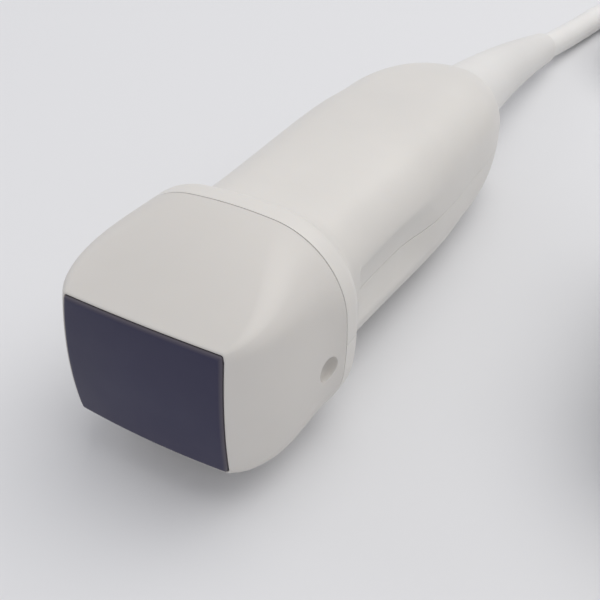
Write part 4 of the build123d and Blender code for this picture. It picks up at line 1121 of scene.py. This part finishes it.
@dataclass
class StrainRelief(Piece):
    """Tapered boot at the dome, with a rounded tip round the cable.

    Attributes:
        axis: arc that it follows.
        base_draw: how far its base stays inside the dome's opening.
        start: gap to the dome.
        foot: share behind the start, and draw, of the rings at its foot.
        taper: slopes at root and tip.
        body: shares between which its body runs, and how many pieces it has.
        tip_length: share of its length that the rounded tip takes.
        tip_swell: how much thicker the tip's root is.
        tip_draw: how far the tip rounds in.
        angles: angles of the rings round the tip.
        mouth: share, and gap to the cable, of the rings inside the mouth.
        sides: points round it.
    """

    axis: BentAxis = field(default_factory=BentAxis)
    base_draw: float = 0.1
    start: float = 0.25
    foot: tuple[Pair, ...] = ((0.0, 1.8), (0.0, 0.3), (0.0015, 0.08))
    taper: Pair = (-0.075, -0.055)
    body: tuple[float, float, int] = (0.008, 0.985, 44)
    tip_length: float = 0.0145
    tip_swell: float = 0.03
    tip_draw: float = 0.55
    angles: tuple[int, ...] = (20, 45, 70, 90)
    mouth: tuple[Pair, ...] = ((0.9995, 0.12), (0.975, 0.1))
    sides: int = 72

    def _rings(self) -> list[Pair]:
        """Share and radius of each ring.

        Returns:
            The rings from the foot over the tip into the mouth.
        """
        base, tip, length = SIZES.root_radius - self.base_draw, SIZES.relief_tip, SIZES.relief_length
        start = self.start / length
        rings = [(start + behind, base - draw) for behind, draw in self.foot]
        for share in steps(*self.body):
            rings.append((share, eased(base, tip, *self.taper, length, share)))
        for angle in self.angles:
            a = math.radians(angle)
            share = self.body[1] + self.tip_length * math.sin(a)
            rings.append((share, tip + self.tip_swell - self.tip_draw * (1 - math.cos(a))))
        return rings + [(share, SIZES.cable_radius + gap) for share, gap in self.mouth]

    def build(self) -> bpy.types.Object:
        """Make the boot.

        Returns:
            The boot object.
        """
        maker = MeshMaker("relief_boot")
        for share, radius in self._rings():
            centre, across, other = self.axis.frame(share)
            loop = []
            for k in range(self.sides):
                a = 2 * math.pi * k / self.sides
                loop.append(centre + (across * math.cos(a) + other * math.sin(a)) * radius)
            maker.ring(loop)
        return self.settle(maker.build(), "relief_rubber", "strain_relief")


@dataclass(frozen=True)
class CordRoute:
    """Route points of the free cable in millimetres, as in the CAD source.

    Attributes:
        centre: centre of the coil.
        lanes: radii of the outer, middle and inner lane.
        entry: angle where the cable joins the coil.
        departure: angle where it leaves it.
        base: height of the coil's underside.
        radius: radius of the cable.
        floor_gap: gap between the cable and the floor.
        lead_direction: direction of the lead on the floor.
        tail_run: run of the tail straight on from the coil.
        tail_rise: how far it rises on that run.
        tail_drop: run from there down to the connector's height.
        tail_approach: straight run into the connector's boot.
        connector_z: height of the connector's middle.
        shift_from: share of a turn after which the cable changes its lane.
        per_turn: points in a turn.
        swell: how far control points lie outside the circle that they draw.
    """

    centre: Pair = (70.0, 126.0)
    lanes: tuple[float, float, float] = (46.2, 38.6, 31.0)
    entry: float = 105.0
    departure: float = -25.0
    base: float = 1.0
    radius: float = 3.8
    floor_gap: float = 0.05
    lead_direction: float = 79.2
    tail_run: float = 29.5
    tail_rise: float = 1.2
    tail_drop: float = 20.0
    tail_approach: float = 16.0
    connector_z: float = 13.5
    shift_from: float = 0.8
    per_turn: int = 24
    swell: float = 1.0086

    def on_coil(self, angle: float, lane: float, layer: float) -> Vector:
        """Point of the coil.

        Args:
            angle: angle round the coil, degrees.
            lane: radius of the lane.
            layer: layer counted from the floor.

        Returns:
            The point.
        """
        turn = math.radians(angle)
        x, y = self.centre[0] + lane * math.cos(turn), self.centre[1] + lane * math.sin(turn)
        return Vector((x, y, self.base + (2 * layer + 1) * self.radius))

    def lead(self, tip: Vector, heading: Vector) -> list[Vector]:
        """Points from the boot's tip over the floor to the coil.

        Args:
            tip: end of the boot.
            heading: direction of the cable there.

        Returns:
            The points, with the coil's first one last.
        """
        landing = tip + heading * ((tip.z - self.radius - self.floor_gap) / -heading.z)
        entry = self.on_coil(self.entry, self.lanes[0], 0)
        turn, way = math.radians(self.entry), math.radians(self.lead_direction)
        arrive = Vector((math.sin(turn), -math.cos(turn), 0.0))
        leave = Vector((math.cos(way), math.sin(way), 0.0))
        bend = landing + leave * ((entry - landing).cross(arrive).z / leave.cross(arrive).z)
        bend.z = entry.z
        return [tip, landing, bend, entry]

    def turns(self) -> list[Vector]:
        """Points of the coil: two layers of three lanes, then an inner and part of a middle turn on top.

        Returns:
            The points after the entry, up to the departure.
        """
        outer, middle, inner = self.lanes
        rows = [(outer, 0), (middle, 0), (inner, 0), (inner, 1), (outer, 1), (middle, 1)]
        rows += [(inner, 2), (middle, 2)]
        whole = len(rows) - 1
        last = whole + (self.entry - self.departure) / 360
        points = []
        for k in range(1, int(last * self.per_turn) + 1):
            turn, share = divmod(k / self.per_turn, 1.0)
            here, there = rows[int(turn)], rows[min(int(turn) + 1, whole)]
            shift = ramp(share, self.shift_from, 1.0)
            lane, layer = blend(here[0], there[0], shift), blend(here[1], there[1], shift)
            points.append(self.on_coil(self.entry - 360 * k / self.per_turn, lane * self.swell, layer))
        return points

    def tail(self) -> list[Vector]:
        """Points from the coil to the connector's boot.

        Returns:
            The points, with the coil's last one first.
        """
        start = self.on_coil(self.departure, self.lanes[1], 2)
        turn = math.radians(self.departure)
        run = Vector((math.sin(turn), -math.cos(turn), 0.0)) * self.tail_run
        leave = start + run + Vector((0, 0, self.tail_rise))
        arrive = Vector((leave.x, leave.y - self.tail_drop, self.connector_z))
        return [start, leave, arrive, arrive - Vector((0, self.tail_approach, 0))]


ROUTE = CordRoute()


@dataclass
class CableCord(Piece):
    """The free cable: one smooth curve from the boot's tip to the connector's boot."""

    axis: BentAxis = field(default_factory=BentAxis)
    resolution: int = 6

    def build(self, pieces: Sequence[bpy.types.Object | str]) -> bpy.types.Object:
        """Args:
            pieces: tie and connector pieces on the cable; not used.

        Returns:
            The curve object.
        """
        centre, _, _ = self.axis.frame(1.0)
        tip = POSE.place(*centre) / MM
        beyond = POSE.place(*(centre + self.axis.heading(1.0))) / MM
        points = ROUTE.lead(tip, beyond - tip) + ROUTE.turns() + ROUTE.tail()
        curve = bpy.data.curves.new("free_cable", "CURVE")
        curve.dimensions = "3D"
        curve.resolution_u = self.resolution
        curve.bevel_depth = SIZES.cable_radius * MM
        curve.bevel_resolution = self.resolution
        curve.use_fill_caps = True
        spline = curve.splines.new("NURBS")
        spline.points.add(len(points) - 1)
        for point, place in zip(spline.points, points):
            point.co = (*(place * MM), 1.0)
        spline.order_u = 3
        spline.use_endpoint_u = True
        cable = bpy.data.objects.new("free_cable", curve)
        bpy.context.scene.collection.objects.link(cable)
        self.settle(cable, "cable_jacket", "cable_lead", "cable_coil", "cable_tail")
        return cable


@dataclass
class CoilTie(Piece):
    """Webbing strap round the coil's turns.

    Attributes:
        angle: where on the coil it sits, degrees.
        half_width: half its width.
        slack: room that it leaves round the turns.
        skin: heights of its inner and outer face over that room.
        ease: how far its edges are eased across and in height.
        power: power of the rounded rectangle that it follows, low for a square one.
        sides: points along it.
    """

    angle: float = 60.0
    half_width: float = 8.0
    slack: float = 0.2
    skin: Pair = (0.02, 0.88)
    ease: Pair = (0.2, 0.08)
    power: float = 0.22
    sides: int = 64

    def build(self) -> bpy.types.Object:
        """Make the strap as a rounded band that follows its CAD box's section.

        Returns:
            The strap object.
        """
        turn = math.radians(self.angle)
        out = Vector((math.cos(turn), math.sin(turn), 0.0))
        along = Vector((-math.sin(turn), math.cos(turn), 0.0))
        # The turns lie three lanes wide and three layers high.
        stack = 3 * 2 * ROUTE.radius
        inner = ROUTE.lanes[-1] - ROUTE.radius
        sag = inner - math.sqrt(inner**2 - self.half_width**2)
        depth, height = (stack + sag + self.slack) / 2, (stack + self.slack) / 2
        middle = Vector((*ROUTE.centre, ROUTE.base + stack / 2)) + out * (ROUTE.lanes[1] - sag / 2)
        maker = MeshMaker("coil_strap")
        for k in range(self.sides + 1):
            a = 2 * math.pi * (k % self.sides) / self.sides
            dx, dz = (math.copysign(abs(wave) ** self.power, wave) for wave in (math.cos(a), math.sin(a)))
            ring = []
            for shift, lift in self._profile():
                spot = middle + out * dx * (depth + lift) + Vector((0, 0, dz * (height + lift)))
                ring.append((spot + along * shift) * MM)
            maker.rings.append(ring)
        return self.settle(maker.build(), "tie_fabric", "coil_tie")

    def _profile(self) -> list[Pair]:
        """Section of the strap.

        Returns:
            Distance along the coil and height over the slack, of each corner.
        """
        w, (low, high), (ease, soft) = self.half_width, self.skin, self.ease
        outer = [(-w, low + soft), (-w, high - soft), (ease - w, high), (w - ease, high)]
        return outer + [(w, high - soft), (w, low + soft), (w - ease, low), (ease - w, low)]


@dataclass
class FrameFinisher:
    """Gives the CAD nodes that stay their materials."""

    shop: MaterialShop

    def dress(self) -> None:
        """Assign each shown node the finish of its record slot."""
        slots = {row["node"]: row["material_slot"] for row in frame["record"]["subparts"]}
        for name, node in frame["nodes"].items():
            if node.hide_render:
                continue
            material = self.shop.get(slots[name])
            if node.material_slots:
                for entry in node.material_slots:
                    entry.material = material
            else:
                node.data.materials.append(material)
            log.info("%s dressed in %s", name, material.name)


@dataclass(frozen=True)
class Lamp:
    """One soft square light: name, place, side in metres, watts and colour."""

    name: str
    place: Triple
    size: float
    power: float
    tint: Triple

    def build(self, target: Vector) -> None:
        """Hang the lamp and turn it to a target.

        Args:
            target: point that it looks at, metres.
        """
        data = bpy.data.lights.new(self.name, "AREA")
        data.size, data.energy, data.color = self.size, self.power, self.tint
        lamp = bpy.data.objects.new(self.name, data)
        lamp.location = self.place
        lamp.rotation_mode = "QUATERNION"
        lamp.rotation_quaternion = (target - Vector(self.place)).to_track_quat("-Z", "Y")
        bpy.context.scene.collection.objects.link(lamp)


@dataclass(frozen=True)
class Studio:
    """Floor, lights and camera.

    Attributes:
        place: place of the camera, metres.
        azimuth: camera's angle round the probe, degrees.
        elevation: camera's angle over the floor, degrees.
        roll: camera's roll, degrees.
        focal_px: focal length in pixels of the frame.
        frame_px: side of the frame in pixels.
        sensor: width of the sensor, millimetres.
        clip: nearest and farthest distance seen, metres.
        floor_half: half side of the floor, metres.
        floor_drop: how far the floor lies under the object, metres.
        aim: point that the lamps look at, metres.
        lamps: the lights.
        sky: colour and strength of the world.
    """

    place: Triple = (0.065671, -0.160655, 0.106459)
    azimuth: float = 30.392
    elevation: float = 37.832
    roll: float = -0.574
    focal_px: float = 850.0
    frame_px: float = 600.0
    sensor: float = 36.0
    clip: Pair = (0.005, 10.0)
    floor_tone: Triple = (0.74, 0.745, 0.76)
    floor_roughness: float = 0.8
    floor_half: float = 6.0
    floor_drop: float = 0.0002
    aim: Triple = (0.0, -0.02, 0.02)
    lamps: tuple[Lamp, ...] = (
        Lamp("key", (0.36, 0.26, 1.05), 1.2, 8.2, (1.0, 0.985, 0.955)),
        Lamp("fill", (-1.0, 0.1, 0.6), 0.8, 1.2, (0.97, 0.98, 1.0)),
    )
    sky: tuple[Triple, float] = ((0.96, 0.96, 1.0), 0.56)

    def camera(self) -> None:
        """Put the camera at the photograph's place and angle."""
        data = bpy.data.cameras.new("camera")
        data.sensor_width = self.sensor
        data.lens = self.focal_px / self.frame_px * self.sensor
        data.clip_start, data.clip_end = self.clip
        camera = bpy.data.objects.new("camera", data)
        bpy.context.scene.collection.objects.link(camera)
        a, e = math.radians(self.azimuth), math.radians(self.elevation)
        back = Vector((math.sin(a) * math.cos(e), -math.cos(a) * math.cos(e), math.sin(e)))
        level = (-back).to_track_quat("-Z", "Y")
        camera.rotation_mode = "QUATERNION"
        camera.rotation_quaternion = level @ Quaternion((0, 0, 1), math.radians(self.roll))
        camera.location = self.place
        bpy.context.scene.camera = camera

    def floor(self) -> None:
        """Lay a wide pale sheet."""
        bm = bmesh.new()
        bmesh.ops.create_grid(bm, x_segments=1, y_segments=1, size=self.floor_half)
        mesh = bpy.data.meshes.new("floor")
        bm.to_mesh(mesh)
        bm.free()
        floor = bpy.data.objects.new("floor", mesh)
        floor.location = (0, 0, -self.floor_drop)
        bpy.context.scene.collection.objects.link(floor)
        material = bpy.data.materials.new("floor")
        material.use_nodes = True
        shader = material.node_tree.nodes["Principled BSDF"]
        shader.inputs["Base Color"].default_value = (*self.floor_tone, 1.0)
        shader.inputs["Roughness"].default_value = self.floor_roughness
        mesh.materials.append(material)

    def build(self) -> None:
        """Make everything round the object."""
        scene = bpy.context.scene
        scene.view_settings.view_transform = "Standard"
        self.camera()
        self.floor()
        for lamp in self.lamps:
            lamp.build(Vector(self.aim))
        scene.world = bpy.data.worlds.new("world")
        scene.world.use_nodes = True
        background = scene.world.node_tree.nodes["Background"]
        colour, strength = self.sky
        background.inputs["Color"].default_value = (*colour, 1.0)
        background.inputs["Strength"].default_value = strength


CONNECTOR_NODES = (
    "connector_relief",
    "connector_housing_upper",
    "connector_housing_lower",
    "connector_shroud",
    "contact_block",
    "contacts",
    "connector_board",
    "connector_screws",
)


def main() -> None:
    """Build the scene in order: camera and cable first, then the probe, then the frame's own nodes."""
    logging.basicConfig(level=logging.INFO)
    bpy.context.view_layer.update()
    shop = MaterialShop()
    Studio().build()
    tie = CoilTie(shop).build()
    log.info("made %s", tie.name)
    cable = CableCord(shop).build([tie, *CONNECTOR_NODES])
    log.info("made %s", cable.name)
    shells = [HandleShell(shop, side=side) for side in (1, -1)]
    for piece in (Lens(shop), NoseShell(shop), *shells, StrainRelief(shop)):
        log.info("made %s", piece.build().name)
    FrameFinisher(shop).dress()


if __name__ == "__main__":
    main()
